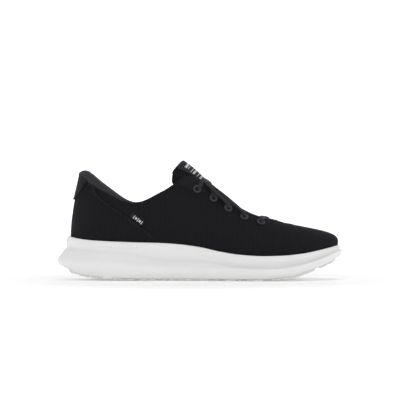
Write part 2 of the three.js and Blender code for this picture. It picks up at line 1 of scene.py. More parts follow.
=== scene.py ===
"""Looks of a low lace-up sports shoe whose heel folds down, built around its CAD frame.

Lengths inside the shape functions are millimetres, in the frame's own axes: +X to the toe,
+Y to the inner side of the foot, +Z up, the ground at 0. put() turns them into metres.
"""

import json

import bpy
import numpy as np
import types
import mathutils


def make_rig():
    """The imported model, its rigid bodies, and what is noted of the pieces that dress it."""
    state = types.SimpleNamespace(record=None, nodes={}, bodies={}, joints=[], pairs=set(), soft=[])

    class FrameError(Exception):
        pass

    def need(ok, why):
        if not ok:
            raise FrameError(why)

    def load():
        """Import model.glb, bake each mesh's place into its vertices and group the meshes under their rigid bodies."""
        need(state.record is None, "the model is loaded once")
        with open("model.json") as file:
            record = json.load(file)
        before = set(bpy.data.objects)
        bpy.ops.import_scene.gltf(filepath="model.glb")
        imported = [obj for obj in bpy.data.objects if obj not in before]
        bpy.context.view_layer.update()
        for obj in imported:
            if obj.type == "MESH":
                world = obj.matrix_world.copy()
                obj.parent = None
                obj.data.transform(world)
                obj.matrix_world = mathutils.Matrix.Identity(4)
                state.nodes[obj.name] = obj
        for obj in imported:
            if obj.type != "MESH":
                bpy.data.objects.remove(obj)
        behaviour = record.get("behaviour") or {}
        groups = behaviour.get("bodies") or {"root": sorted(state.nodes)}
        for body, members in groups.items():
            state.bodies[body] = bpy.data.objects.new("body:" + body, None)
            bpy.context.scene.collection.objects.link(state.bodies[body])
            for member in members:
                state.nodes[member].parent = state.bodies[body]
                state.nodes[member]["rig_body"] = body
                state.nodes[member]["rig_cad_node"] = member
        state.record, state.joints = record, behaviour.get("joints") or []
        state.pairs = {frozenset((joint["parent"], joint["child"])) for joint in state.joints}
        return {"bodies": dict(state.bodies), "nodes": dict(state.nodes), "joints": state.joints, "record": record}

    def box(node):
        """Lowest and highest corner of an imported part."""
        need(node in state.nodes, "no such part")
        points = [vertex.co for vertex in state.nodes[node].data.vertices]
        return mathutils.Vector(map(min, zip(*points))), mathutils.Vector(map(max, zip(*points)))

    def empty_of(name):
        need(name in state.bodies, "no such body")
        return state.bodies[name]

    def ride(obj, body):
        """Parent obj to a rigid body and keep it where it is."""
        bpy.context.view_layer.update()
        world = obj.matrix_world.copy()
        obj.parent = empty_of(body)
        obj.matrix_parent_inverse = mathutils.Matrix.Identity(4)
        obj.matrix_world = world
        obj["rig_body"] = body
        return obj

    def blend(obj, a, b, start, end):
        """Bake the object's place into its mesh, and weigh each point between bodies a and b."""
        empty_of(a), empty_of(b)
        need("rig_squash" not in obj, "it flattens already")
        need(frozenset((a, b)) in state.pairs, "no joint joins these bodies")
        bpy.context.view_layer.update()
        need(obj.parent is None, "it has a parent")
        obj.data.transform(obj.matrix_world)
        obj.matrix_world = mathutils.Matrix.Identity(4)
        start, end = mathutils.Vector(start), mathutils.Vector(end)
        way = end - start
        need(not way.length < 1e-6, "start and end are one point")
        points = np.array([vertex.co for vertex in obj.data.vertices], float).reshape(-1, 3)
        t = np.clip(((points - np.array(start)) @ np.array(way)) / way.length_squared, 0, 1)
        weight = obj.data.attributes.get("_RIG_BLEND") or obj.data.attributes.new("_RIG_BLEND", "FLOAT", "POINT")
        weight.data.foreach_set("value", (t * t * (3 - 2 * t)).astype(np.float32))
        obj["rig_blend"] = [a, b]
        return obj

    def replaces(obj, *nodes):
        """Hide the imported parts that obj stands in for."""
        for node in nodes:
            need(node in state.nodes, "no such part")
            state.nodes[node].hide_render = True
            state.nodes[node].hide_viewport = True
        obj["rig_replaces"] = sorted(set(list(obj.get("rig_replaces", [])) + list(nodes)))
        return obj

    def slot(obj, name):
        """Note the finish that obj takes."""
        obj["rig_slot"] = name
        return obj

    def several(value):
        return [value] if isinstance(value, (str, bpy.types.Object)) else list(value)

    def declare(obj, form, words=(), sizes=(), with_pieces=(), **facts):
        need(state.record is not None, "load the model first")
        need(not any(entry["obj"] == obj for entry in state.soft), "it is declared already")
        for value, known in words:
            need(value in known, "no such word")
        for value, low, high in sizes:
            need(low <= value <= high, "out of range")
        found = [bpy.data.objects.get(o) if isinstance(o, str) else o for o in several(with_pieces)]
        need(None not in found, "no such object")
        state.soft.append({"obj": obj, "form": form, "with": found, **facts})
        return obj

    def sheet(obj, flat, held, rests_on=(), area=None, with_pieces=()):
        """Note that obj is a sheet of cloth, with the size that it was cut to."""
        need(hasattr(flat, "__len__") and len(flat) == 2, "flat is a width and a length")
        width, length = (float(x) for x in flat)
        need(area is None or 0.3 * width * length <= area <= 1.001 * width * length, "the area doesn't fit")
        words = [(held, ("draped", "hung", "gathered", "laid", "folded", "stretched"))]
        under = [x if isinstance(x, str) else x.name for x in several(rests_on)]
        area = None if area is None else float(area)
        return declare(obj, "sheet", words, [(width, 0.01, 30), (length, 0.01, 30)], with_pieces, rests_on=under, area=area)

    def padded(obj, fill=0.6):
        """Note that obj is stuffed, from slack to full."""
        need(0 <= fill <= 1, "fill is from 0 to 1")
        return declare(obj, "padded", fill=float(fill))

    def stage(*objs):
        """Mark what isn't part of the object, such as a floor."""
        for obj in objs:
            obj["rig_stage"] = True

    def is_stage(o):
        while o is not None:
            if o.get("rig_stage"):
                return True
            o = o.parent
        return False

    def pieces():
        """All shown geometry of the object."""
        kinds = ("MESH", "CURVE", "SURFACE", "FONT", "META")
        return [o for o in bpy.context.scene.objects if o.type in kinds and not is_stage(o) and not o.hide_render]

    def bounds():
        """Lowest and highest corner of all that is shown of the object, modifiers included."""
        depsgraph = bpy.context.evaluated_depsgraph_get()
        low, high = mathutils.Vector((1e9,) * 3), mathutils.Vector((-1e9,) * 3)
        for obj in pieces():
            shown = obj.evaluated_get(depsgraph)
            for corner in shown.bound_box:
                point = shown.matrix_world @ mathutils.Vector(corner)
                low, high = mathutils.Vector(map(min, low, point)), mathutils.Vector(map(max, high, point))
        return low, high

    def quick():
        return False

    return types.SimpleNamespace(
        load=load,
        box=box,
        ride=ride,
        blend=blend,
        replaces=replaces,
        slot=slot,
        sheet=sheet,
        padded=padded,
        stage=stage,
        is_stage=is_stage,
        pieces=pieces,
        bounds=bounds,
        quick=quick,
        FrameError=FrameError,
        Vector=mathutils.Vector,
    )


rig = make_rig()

bl_info = {
    "name": "Folding-heel sports shoe",
    "version": (1, 0, 0),
    "blender": (4, 5, 0),
    "location": "3D View > Sidebar > Shoe",
    "description": "Builds the cloth, foam, laces and trim of a low sports shoe on its CAD frame",
    "category": "Object",
}

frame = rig.load()
CAD_BOX = [list(corner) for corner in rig.bounds()]
MM = 0.001

# Sizes that the CAD solids share with the pieces here.
SOLE_LOW, SOLE_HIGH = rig.box("midsole")
HALF = (SOLE_HIGH.x - SOLE_LOW.x) / MM / 2
BALL = (SOLE_HIGH.y - SOLE_LOW.y) / MM / 2
HEEL, WAIST_OUT, WAIST_IN = 42.0, 41.0, 35.5
RIM_WIDTH, RIM_WALL, GROOVE_DROP, PAD_THICK = 2.8, 8.5, 1.7, 2.2
GAP = 0.35
PAD_INSET, SIPE_DEPTH, TREAD_STEP = 1.6, 1.2, 6.5
KNIT_THICK, PANEL_THICK, TAB_THICK = 1.2, 1.1, 0.9
FOOTBED_THICK, FOOTBED_INSET = 3.8, 5.4
BARREL_RADIUS, FLANGE_RADIUS, DRILL_RADIUS = 2.35, 4.15, 2.8
SEAM_ROWS = (1.5, 3.8)  # rows of thread, measured back from the seam
THREAD_RADIUS = 0.24
SPANS = 22  # of the outline, one to each of its points
# The cloth behind the ankle turns with the collar. Its share is nothing at the rim, at the dip and
# at the throat, and whole under the pull tab and above, so the panel below is pressed down.
FOLD = {"start": (-0.068, 0.0, 0.0794), "end": (-0.08185, 0.0, 0.1074)}
TONGUE_PIVOT = (2.06, 0.0, 107.43)
TONGUE_WAY = (-0.7203, 0.0, 0.6936)
TONGUE_BEND = 0.007  # metres to each side of the pivot


# ------------------------------------------------------------------ curves
def along(*points):
    """Smooth line through (s, z) points that never swings past them: cubic Hermite spans whose end
    slopes are the harmonic mean of the two neighbouring chords, or 0 where those change sign."""
    x, y = np.array(points, float).T
    chord = np.diff(y) / np.diff(x)
    a, b = np.r_[chord[0], chord], np.r_[chord, chord[-1]]
    both = a * b > 0
    m = np.where(both, 2 * a * b / np.where(both, a + b, 1), 0)

    def at(s):
        s = np.clip(s, x[0], x[-1])
        k = np.clip(np.searchsorted(x, s, side="right") - 1, 0, len(x) - 2)
        h = x[k + 1] - x[k]
        t = (s - x[k]) / h
        low = (1 + 2 * t) * (1 - t) ** 2 * y[k] + t * (1 - t) ** 2 * h * m[k]
        return low + t * t * (3 - 2 * t) * y[k + 1] + t * t * (t - 1) * h * m[k + 1]

    return at


def ring(points):
    """Closed line through points, one span each: cubic Hermite with half the chord between a
    point's neighbours as its slope. u runs from 0 to 1 round it."""
    p = np.array(points, float)
    m = (np.roll(p, -1, 0) - np.roll(p, 1, 0)) / 2
    n = len(p)

    def at(u, slope=False):
        w = (np.asarray(u, float) % 1.0) * n
        k = np.floor(w).astype(int) % n
        t = (w - np.floor(w))[..., None]
        j = (k + 1) % n
        if slope:
            return (
                (6 * t * t - 6 * t) * (p[k] - p[j])
                + (3 * t * t - 4 * t + 1) * m[k]
                + (3 * t * t - 2 * t) * m[j]
            )
        return (
            (2 * t**3 - 3 * t * t + 1) * p[k]
            + (t**3 - 2 * t * t + t) * m[k]
            + (3 * t * t - 2 * t**3) * p[j]
            + (t**3 - t * t) * m[j]
        )

    return at


def spline(points, samples, extra=None):
    """Open centripetal Catmull-Rom line through points, resampled to equal steps of its length.
    extra holds more columns that are carried along with the points."""
    p = np.array(points, float)
    q = p if extra is None else np.hstack([p, np.array(extra, float).reshape(len(p), -1)])
    q = np.vstack([2 * q[0] - q[1], q, 2 * q[-1] - q[-2]])
    knots = np.r_[0, np.cumsum(np.linalg.norm(np.diff(q[:, : p.shape[1]], axis=0), axis=1) ** 0.5)]
    t = np.linspace(knots[1], knots[-2], 24 * len(p))
    k = np.clip(np.searchsorted(knots, t, side="right") - 1, 1, len(q) - 3)
    t0, t1, t2, t3 = (knots[k + i][:, None] for i in (-1, 0, 1, 2))
    p0, p1, p2, p3 = (q[k + i] for i in (-1, 0, 1, 2))
    t = t[:, None]
    a1 = (t1 - t) / (t1 - t0) * p0 + (t - t0) / (t1 - t0) * p1
    a2 = (t2 - t) / (t2 - t1) * p1 + (t - t1) / (t2 - t1) * p2
    a3 = (t3 - t) / (t3 - t2) * p2 + (t - t2) / (t3 - t2) * p3
    b1 = (t2 - t) / (t2 - t0) * a1 + (t - t0) / (t2 - t0) * a2
    b2 = (t3 - t) / (t3 - t1) * a2 + (t - t1) / (t3 - t1) * a3
    dense = (t2 - t) / (t2 - t1) * b1 + (t - t1) / (t2 - t1) * b2
    return even(dense, samples, p.shape[1])


def even(dense, samples, dims=3):
    """The same line resampled to equal steps of its length, by linear interpolation."""
    length = run_along(dense[:, :dims])
    at = np.linspace(0, length[-1], samples)
    return np.stack([np.interp(at, length, column) for column in dense.T], 1)


def bspline(controls, samples, closed=False):
    """Quadratic B-spline over the first axis of controls: each point is a weighted mean of three
    neighbouring controls, so corners are rounded and doubled controls keep them crisp."""
    c = np.asarray(controls, float)
    if closed:
        c = np.concatenate([c, c[:2]])
    else:
        c = np.concatenate([c[:1], c, c[-1:]])
    spans = len(c) - 2
    w = np.linspace(0, spans, samples, endpoint=not closed)
    k = np.minimum(w.astype(int), spans - 1)
    t = (w - k).reshape(-1, *([1] * (c.ndim - 1)))
    return (1 - t) ** 2 / 2 * c[k] + (0.5 + t - t * t) * c[k + 1] + t * t / 2 * c[k + 2]


def run_along(points):
    """Length from the first point to each one."""
    return np.r_[0, np.cumsum(np.linalg.norm(np.diff(points, axis=0), axis=1))]


def smooth(x, low, high):
    """0 below low, 1 above high, and a smooth cubic step between."""
    t = np.clip((x - low) / (high - low), 0, 1)
    return t * t * (3 - 2 * t)


def unit(v):
    """The vectors of v at length 1."""
    return v / np.maximum(np.linalg.norm(v, axis=-1, keepdims=True), 1e-12)


def stack(*parts):
    """Coordinate arrays, broadcast together, as one array of points."""
    return np.stack(np.broadcast_arrays(*parts), -1)


# ------------------------------------------------------------------ the sole's plan and levels
OUTLINE = ring(
    [
        (-HALF, 0), (-0.948 * HALF, -0.52 * HEEL), (-0.794 * HALF, -0.89 * HEEL),
        (-0.57 * HALF, -HEEL), (-0.3 * HALF, -WAIST_OUT), (-0.03 * HALF, -1.05 * WAIST_OUT),
        (0.235 * HALF, -0.93 * BALL), (0.47 * HALF, -BALL), (0.706 * HALF, -0.91 * BALL),
        (0.885 * HALF, -0.62 * BALL), (0.978 * HALF, -0.26 * BALL), (HALF, 0.1 * BALL),
        (0.978 * HALF, 0.42 * BALL), (0.885 * HALF, 0.7 * BALL), (0.706 * HALF, 0.93 * BALL),
        (0.47 * HALF, BALL), (0.235 * HALF, 0.89 * BALL), (-0.03 * HALF, 1.04 * WAIST_IN),
        (-0.3 * HALF, WAIST_IN), (-0.57 * HALF, 0.93 * HEEL), (-0.794 * HALF, 0.87 * HEEL),
        (-0.948 * HALF, 0.51 * HEEL),
    ]
)
SEEN = OUTLINE(np.linspace(0, 1, 67))
CENTRE = (SEEN.min(0) + SEEN.max(0)) / 2

BASE = along(
    (-0.93, 8.2), (-0.85, 5.4), (-0.757, 2.9), (-0.613, 1), (-0.36, 0), (0.45, 0), (0.565, 1.5),
    (0.645, 2.9), (0.725, 6.4), (0.8, 10.4), (0.92, 17.4), (0.966, 21.3),
)
RIM = along(
    (-0.93, 46.2), (-0.89, 44.6), (-0.84, 43.2), (-0.75, 41.7), (-0.5, 39.9), (-0.277, 39),
    (-0.137, 37.6), (0, 34.8), (0.143, 30.2), (0.282, 27.1), (0.44, 25.8), (0.562, 26.2),
    (0.702, 28.1), (0.842, 32), (0.97, 36.2),
)
GROOVE = along(
    (-0.94, 34), (-0.84, 32.6), (-0.613, 30), (-0.47, 28.3), (-0.34, 23.2), (-0.2, 21.6),
    (-0.01, 21.6), (0.163, 17.2), (0.373, 14), (0.6, 15), (0.8, 21.5), (0.97, 32),
)
FLARE = along(
    (-0.98, 20.5), (-0.84, 19), (-0.5, 16.5), (-0.2, 13.5), (0.16, 12), (0.45, 11), (0.7, 15.5),
    (0.9, 25), (0.99, 30),
)
CREASE = along(
    (-0.98, 16.5), (-0.82, 13.8), (-0.54, 11.8), (-0.3, 8.6), (0, 8.6), (0.3, 7.8), (0.48, 6.8),
    (0.62, 8.4), (0.76, 12.6), (0.97, 24.4),
)
BASE_IN = along((-1, 12), (-0.8, 9), (0, 8), (0.6, 7), (1, 5))
CREASE_IN = along((-1, 1.8), (0, 2.2), (1, 2.6))
GROOVE_IN = along((-1, 8.6), (-0.8, 7), (0, 6), (0.5, 4.6), (0.8, 2.8), (1, 1.2))
RIM_IN = along((-1, 11.2), (-0.8, 6.8), (0, 5.6), (0.5, 4.6), (0.8, 3.6), (1, 3.2))


def plan_way(u):
    """Unit direction of the plan edge at u."""
    return unit(OUTLINE(u, slope=True))


def plan(u, inset=0.0):
    """Plan edge at u, moved inwards by inset along its own normal: (x, y)."""
    way = plan_way(u)
    return OUTLINE(u) - CENTRE + np.asarray(inset, float)[..., None] * stack(-way[..., 1], way[..., 0])


def station(u):
    """Share of the half length at u: -1 at the heel, 1 at the toe."""
    return plan(u)[..., 0] / HALF


def rim_width(s):
    """Width of the rim's top, narrower round the toe."""
    return RIM_WIDTH - 1.8 * smooth(s, 0.88, 1)


def feather(s):
    """Inset of the line where the upper stands inside the rim."""
    return RIM_IN(s) + rim_width(s) + GAP


# ------------------------------------------------------------------ the upper's surface
# One rib for each outline point: free edge, (rise, bulge) off the rim, handle under the edge.
RIBS = [
    ((-125.2, 0, 106.5), (21, -0.3), (-4.6, 0, -20)),
    ((-118.8, 18, 103.8), (21, 0.8), (-4, 2, -20)),
    ((-99, 28.5, 93.3), (18, 2.5), (-2, 4.5, -17)),
    ((-68, 31, 79.8), (13, 3), (0, 4.5, -12)),
    ((-38, 28.5, 91.6), (16, 3), (1, 6, -15)),
    ((-12, 23.5, 107), (21, 2.5), (4, 9, -17)),
    ((8, 19, 99.2), (21, 2.5), (6, 9, -14)),
    ((29, 15.5, 83.2), (17, 2.5), (8, 11, -9)),
    ((49, 12.5, 71), (14, 2.5), (12, 15, -6)),
    ((62, 9.5, 65.6), (12.5, 3), (18, 17, -5)),
    ((69.5, 5, 64), (14, 5), (32, 14, -9)),
    ((71.5, 0, 63.9), (16.5, 6.5), (47, 0, -13)),
]


def every_rib(column):
    """Closed line through that column of all the ribs, outer side first, the inner side mirrored."""
    outer = np.array([rib[column] for rib in RIBS], float)
    inner = outer[-2:0:-1].copy()
    if outer.shape[1] == 3:
        outer[:, 1] *= -1
    return ring(np.vstack([outer, inner]))


EDGE, LEAD, HANDLE = every_rib(0), every_rib(1), every_rib(2)
WALL_SHARE = 0.12


def face(u, v):
    """Outer face of the upper. u runs round the foot from the heel, v from the floor of the rim to
    the free edge. Below WALL_SHARE it stands upright in the rim; above, it is a cubic Bezier from
    the rim to the edge, with handles that bulge outwards at the rim and lean in at the edge."""
    u, v = np.broadcast_arrays(np.asarray(u, float), np.asarray(v, float))
    way = plan_way(u)
    foot = plan(u, feather(station(u)))
    s = foot[..., 0] / HALF
    rim = RIM(s)
    zero = np.zeros_like(rim)
    start = stack(foot[..., 0], foot[..., 1], rim)
    lead = LEAD(u)
    low = start + stack(way[..., 1] * lead[..., 1], -way[..., 0] * lead[..., 1], lead[..., 0])
    top = EDGE(u)
    under = top + HANDLE(u)
    t = np.clip((v - WALL_SHARE) / (1 - WALL_SHARE), 0, 1)[..., None]
    bow = (1 - t) ** 3 * start + 3 * t * (1 - t) ** 2 * low + 3 * t * t * (1 - t) * under + t**3 * top
    drop = np.clip(1 - v / WALL_SHARE, 0, 1) * (RIM_WALL - GAP)
    return bow - stack(zero, zero, drop)


def outward(u, v):
    """Unit normal of the face, from differences along u and v."""
    e = 0.004
    u, v = np.broadcast_arrays(np.asarray(u, float), np.asarray(v, float))
    du = face(u + e, v) - face(u - e, v)
    dv = face(u, np.minimum(1, v + e)) - face(u, np.maximum(0, v - e))
    return unit(np.cross(du, dv))


def skin(u, v, lift):
    """The face moved outwards by lift."""
    return face(u, v) + outward(u, v) * np.asarray(lift, float)[..., None]


def locate(x, z):
    """(u, v) where the outer side's face shows at x, z in side view: nested searches on a grid."""
    u0, v0, step = 0.25, 0.55, 0.25
    while step > 1e-5:
        u, v = np.meshgrid(u0 + step * np.linspace(-1, 1, 9), v0 + 2 * step * np.linspace(-1, 1, 9))
        u, v = np.clip(u, 0.001, 0.499), np.clip(v, 0.14, 1)
        p = face(u, v)
        k = np.hypot(p[..., 0] - x, p[..., 2] - z).argmin()
        u0, v0, step = u.flat[k], v.flat[k], step / 2
    return u0, v0


EYELET_SPOTS = [(-2.7, 94.2), (14.1, 84.7), (29.1, 74.3), (45.7, 65.5), (63, 60)]
EYELETS = [locate(*spot) for spot in EYELET_SPOTS]
SEAM = spline(
    [
        (-107.9, 99), (-107.6, 91.5), (-104, 85.8), (-90.7, 75.7), (-64.1, 59.1), (-41.2, 39.5),
        (-24, 22),
    ],
    80,
)


def seam_u(v, inner):
    """u of the rear seam at each v: the first place from the heel where the face passes in front of
    the seam's side-view line."""
    v = np.atleast_1d(v)
    reach = np.linspace(0.02, 0.3, 240)
    u = 1 - reach if inner else reach
    p = face(u[None], v[:, None])
    ahead = p[..., 0] - np.interp(p[..., 2], SEAM[::-1, 1], SEAM[::-1, 0])
    k = np.argmax(ahead > 0, axis=1)
    row = np.arange(len(v))
    a, b = ahead[row, k - 1], ahead[row, k]
    return u[k - 1] + (u[k] - u[k - 1]) * np.clip(-a / (b - a), 0, 1)


# ------------------------------------------------------------------ meshes
def grid_quads(rows, cols, wrap_rows, wrap_cols):
    """Index quads of a grid, and for each corner its row and column before wrapping."""
    rows_used = rows if wrap_rows else rows - 1
    cols_used = cols if wrap_cols else cols - 1
    r, c = np.meshgrid(np.arange(rows_used), np.arange(cols_used), indexing="ij")
    r, c = r.ravel(), c.ravel()
    rr = np.stack([r, r, r + 1, r + 1], 1)
    cc = np.stack([c, c + 1, c + 1, c], 1)
    return (rr % rows) * cols + cc % cols, rr, cc


def loft(loops, cap="ladder", uv=None, wrap=False):
    """Closed skin over loops, an array of rows, closed points and xyz. A ladder cap ties point i to
    point n-1-i of an end loop, a fan cap ties an end loop to its middle, and wrap joins the last
    loop to the first. Returns points, quads and a UV pair for each corner."""
    loops = np.asarray(loops, float)
    rows, n = loops.shape[:2]
    points = loops.reshape(-1, 3)
    quads, rr, cc = grid_quads(rows, n, wrap, True)
    if uv is None:
        run = run_along(loops.mean(1))
        around = np.concatenate([loops, loops[:, :1]], 1)
        step = np.linalg.norm(np.diff(around, axis=1), axis=2).mean(0)
        side = np.r_[0, np.cumsum(step)]
        run = np.r_[run, 2 * run[-1] - run[-2]]
        corner = stack(run[rr], side[cc])
    else:
        corner = uv[np.minimum(rr, uv.shape[0] - 1), np.minimum(cc, uv.shape[1] - 1)]
    faces, corners = [quads], [corner]
    if not wrap:
        for base, turn in ((0, True), ((rows - 1) * n, False)):
            if cap == "ladder":
                i = np.arange(n // 2 - 1)
                extra = np.stack([i, i + 1, n - 2 - i, n - 1 - i], 1) + base
            else:
                points = np.vstack([points, points[base : base + n].mean(0)])
                i = np.arange(0, n, 2)
                hub = np.full(len(i), len(points) - 1)
                extra = np.stack([hub, base + i, base + (i + 1) % n, base + (i + 2) % n], 1)
            faces.append(extra[:, ::-1] if turn else extra)
            corners.append(np.zeros((*extra.shape, 2)))
    faces, corners = np.vstack(faces), np.concatenate(corners)
    a, b, c, d = (points[faces[:, k]] for k in range(4))
    volume = np.einsum("ij,ij->i", a, np.cross(b, c) + np.cross(c, d)).sum()
    if volume < 0:
        faces, corners = faces[:, ::-1], corners[:, ::-1]
    return points, faces, corners


def merge(parts):
    """Several lofted skins as one."""
    counts = np.cumsum([0] + [len(p[0]) for p in parts])
    return (
        np.vstack([p[0] for p in parts]),
        np.vstack([p[1] + k for p, k in zip(parts, counts)]),
        np.concatenate([p[2] for p in parts]),
    )


def put(name, made, finish):
    """A mesh object from points in millimetres, quads and UV corners, the UVs in millimetres too.
    Quads that have closed to a triangle or less lose their doubled corner."""
    points, faces, corners = made
    mesh = bpy.data.meshes.new(name)
    keep = faces != np.roll(faces, 1, axis=1)
    total = keep.sum(1)
    good = total > 2
    faces, corners, keep, total = faces[good], corners[good], keep[good], total[good]
    loops = faces[keep]
    mesh.vertices.add(len(points))
    mesh.vertices.foreach_set("co", (points * MM).astype(np.float32).ravel())
    mesh.loops.add(len(loops))
    mesh.loops.foreach_set("vertex_index", loops.astype(np.int32))
    mesh.polygons.add(len(total))
    mesh.polygons.foreach_set("loop_start", np.r_[0, np.cumsum(total)[:-1]].astype(np.int32))
    mesh.polygons.foreach_set("loop_total", total.astype(np.int32))
    layer = mesh.uv_layers.new(name="Cloth")
    layer.data.foreach_set("uv", corners[keep].astype(np.float32).ravel())
    mesh.polygons.foreach_set("use_smooth", np.ones(len(total), bool))
    mesh.update(calc_edges=True)
    mesh.validate()
    mesh.materials.append(finish)
    made_object = bpy.data.objects.new(name, mesh)
    bpy.context.scene.collection.objects.link(made_object)
    return made_object


def seat(piece, slot, body=None, stands_for=(), fold=False, tilt=False):
    """Ties a piece to its body or across a joint, and names its finish and the solids it shows for."""
    if fold:
        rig.blend(piece, "root", "heel_collar", **FOLD)
    elif tilt:
        middle, way = np.array(TONGUE_PIVOT) * MM, np.array(TONGUE_WAY) * TONGUE_BEND
        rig.blend(piece, "root", "tongue_free_end", start=tuple(middle - way), end=tuple(middle + way))
    else:
        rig.ride(piece, body or "root")
    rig.slot(piece, slot)
    if stands_for:
        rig.replaces(piece, *stands_for)
    return piece


def rolled(outer, inner, steps=3):
    """Loops of a cloth wall between two faces, given as rows by columns: across each free edge runs
    a half circle as wide as the wall. Returns columns by closed points."""
    angle = (np.arange(1, steps + 1) / (steps + 1) * np.pi)[:, None, None]

    def turn(a, b, ahead):
        arm = (a - b) / 2
        front = unit(ahead) * np.linalg.norm(arm, axis=-1, keepdims=True)
        return (a + b) / 2 + np.cos(angle) * arm + np.sin(angle) * front

    top = turn(outer[-1], inner[-1], outer[-1] - outer[-2])
    bottom = turn(inner[0], outer[0], outer[0] - outer[1])
    return np.concatenate([outer, top, inner[::-1], bottom]).transpose(1, 0, 2)


def tube(path, section, across):
    """A closed section carried along a path. section holds (sideways, outwards) pairs, one set or
    one for each path point, across the unit sideways direction; outwards is path way x sideways."""
    way = unit(np.gradient(path, axis=0))
    side = unit(across - np.einsum("ij,ij->i", across, way)[:, None] * way)
    out = np.cross(side, way)
    section = np.broadcast_to(section, (len(path), *np.shape(section)[-2:]))
    loops = path[:, None] + section[..., :1] * side[:, None] + section[..., 1:] * out[:, None]
    return loft(loops, "fan")


def oval(wide, tall, count, power=2.0):
    """Superellipse: |a/wide|^power + |b/tall|^power = 1, as (sideways, outwards) pairs."""
    angle = np.arange(count) / count * 2 * np.pi
    c, s = np.cos(angle), np.sin(angle)
    swell = (np.abs(c) ** power + np.abs(s) ** power) ** (-1 / power)
    return stack(wide * swell * c, tall * swell * s)


def stitches(path, normal, pitch, length, radius):
    """A row of thread stitches: short bent capsules at equal steps along a line, each rising out of
    the cloth by a half sine and diving back at its ends."""
    run = run_along(path)
    count = max(2, int(run[-1] / pitch))
    at = (np.arange(count) + 0.5) / count * run[-1]
    k = np.linspace(-0.5, 0.5, 6)
    s = (at[:, None] + k * length).clip(0, run[-1])
    middle = stack(*(np.interp(s, run, path[:, i]) for i in range(3)))
    up = unit(stack(*(np.interp(s, run, normal[:, i]) for i in range(3))))
    middle = middle + up * (np.cos(k * np.pi)[:, None] - 0.35) * radius
    way = unit(np.gradient(middle, axis=1))
    side = np.cross(up, way)
    slim = (np.cos(k * np.pi * 0.86) ** 0.5)[:, None, None] * radius
    angle = np.arange(6) / 6 * 2 * np.pi
    over = np.cross(way, side)
    spoke = np.cos(angle)[:, None] * side[:, :, None] + np.sin(angle)[:, None] * over[:, :, None]
    loops = middle[:, :, None] + slim * spoke
    return merge([loft(one, "fan") for one in loops])


def puff(piece, pinned, pressure, cap):
    """Swells a sewn pad by a cloth simulation under pressure, its seams pinned. The simulation runs
    on a copy 20 times as large, because Blender's cloth forces are set for larger pieces, and no
    point moves by more than cap metres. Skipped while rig.quick() is true."""
    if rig.quick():
        return
    grow = 20.0
    mesh = piece.data
    rest = np.empty(len(mesh.vertices) * 3, np.float32)
    mesh.vertices.foreach_get("co", rest)
    mesh.vertices.foreach_set("co", rest * grow)
    group = piece.vertex_groups.new(name="seams")
    for weight in np.unique(np.round(pinned, 1)):
        group.add(np.nonzero(np.round(pinned, 1) == weight)[0].tolist(), float(weight), "REPLACE")
    cloth = piece.modifiers.new("Swell", "CLOTH")
    cloth.settings.vertex_group_mass = "seams"
    cloth.settings.use_pressure = True
    cloth.settings.uniform_pressure_force = pressure
    cloth.settings.effector_weights.gravity = 0
    cloth.settings.quality = 6
    cloth.settings.tension_stiffness = cloth.settings.compression_stiffness = 20
    cloth.settings.shear_stiffness = 8
    cloth.settings.bending_stiffness = 2
    cloth.point_cache.frame_start, cloth.point_cache.frame_end = 1, 20
    scene = bpy.context.scene
    for number in range(1, 21):
        scene.frame_set(number)
    solved = piece.evaluated_get(bpy.context.evaluated_depsgraph_get()).to_mesh()
    moved = np.empty_like(rest)
    solved.vertices.foreach_get("co", moved)
    piece.to_mesh_clear()
    piece.modifiers.remove(cloth)
    piece.vertex_groups.remove(group)
    scene.frame_set(1)
    shift = (moved / grow - rest).reshape(-1, 3)
    if not np.isfinite(shift).all():
        raise RuntimeError(piece.name + ": the cloth simulation did not settle")
    far = np.linalg.norm(shift, axis=1, keepdims=True)
    shift *= np.minimum(1, cap / np.maximum(far, 1e-9))
    mesh.vertices.foreach_set("co", rest + shift.ravel())
    mesh.update()


# ------------------------------------------------------------------ finishes
def linear(code):
    """Linear RGB of an sRGB hex colour."""
    c = np.array([int(code[i : i + 2], 16) for i in (1, 3, 5)]) / 255
    return tuple(float(x) for x in np.where(c <= 0.04045, c / 12.92, ((c + 0.055) / 1.055) ** 2.4))


def add(tree, kind, inputs=None, **settings):
    """Adds a node, sets its properties, and sets or links each named or numbered input."""
    made = tree.nodes.new(kind)
    for key, value in settings.items():
        setattr(made, key, value)
    for key, value in (inputs or {}).items():
        if isinstance(value, bpy.types.NodeSocket):
            tree.links.new(value, made.inputs[key])
        else:
            made.inputs[key].default_value = value
    return made


def reckon(tree, operation, a, b=0.0, c=0.0):
    """A maths node's result."""
    return add(tree, "ShaderNodeMath", {0: a, 1: b, 2: c}, operation=operation).outputs[0]


def wave(tree, x, period, shift=0.0):
    """A cosine from 0 to 1 with that period."""
    turn = reckon(tree, "MULTIPLY_ADD", x, 2 * np.pi / period, shift)
    return reckon(tree, "MULTIPLY_ADD", reckon(tree, "COSINE", turn), 0.5, 0.5)


def ramp(tree, x, low, high, a=0.0, b=1.0):
    """a below low, b above high, and a smooth step between."""
    inputs = {"Value": x, "From Min": low, "From Max": high, "To Min": a, "To Max": b}
    return add(tree, "ShaderNodeMapRange", inputs, interpolation_type="SMOOTHSTEP").outputs["Result"]


def band(tree, x, a, b, c, d):
    """0 below a, 1 from b to c, 0 above d, with smooth steps between."""
    return reckon(tree, "MULTIPLY", ramp(tree, x, a, b), ramp(tree, x, c, d, 1, 0))


def mottle(tree, place, scale, detail=3.0):
    """Cloudy noise from 0 to 1, with scale cells to a metre."""
    inputs = {"Vector": place, "Scale": scale, "Detail": detail, "Roughness": 0.6}
    return add(tree, "ShaderNodeTexNoise", inputs).outputs["Fac"]


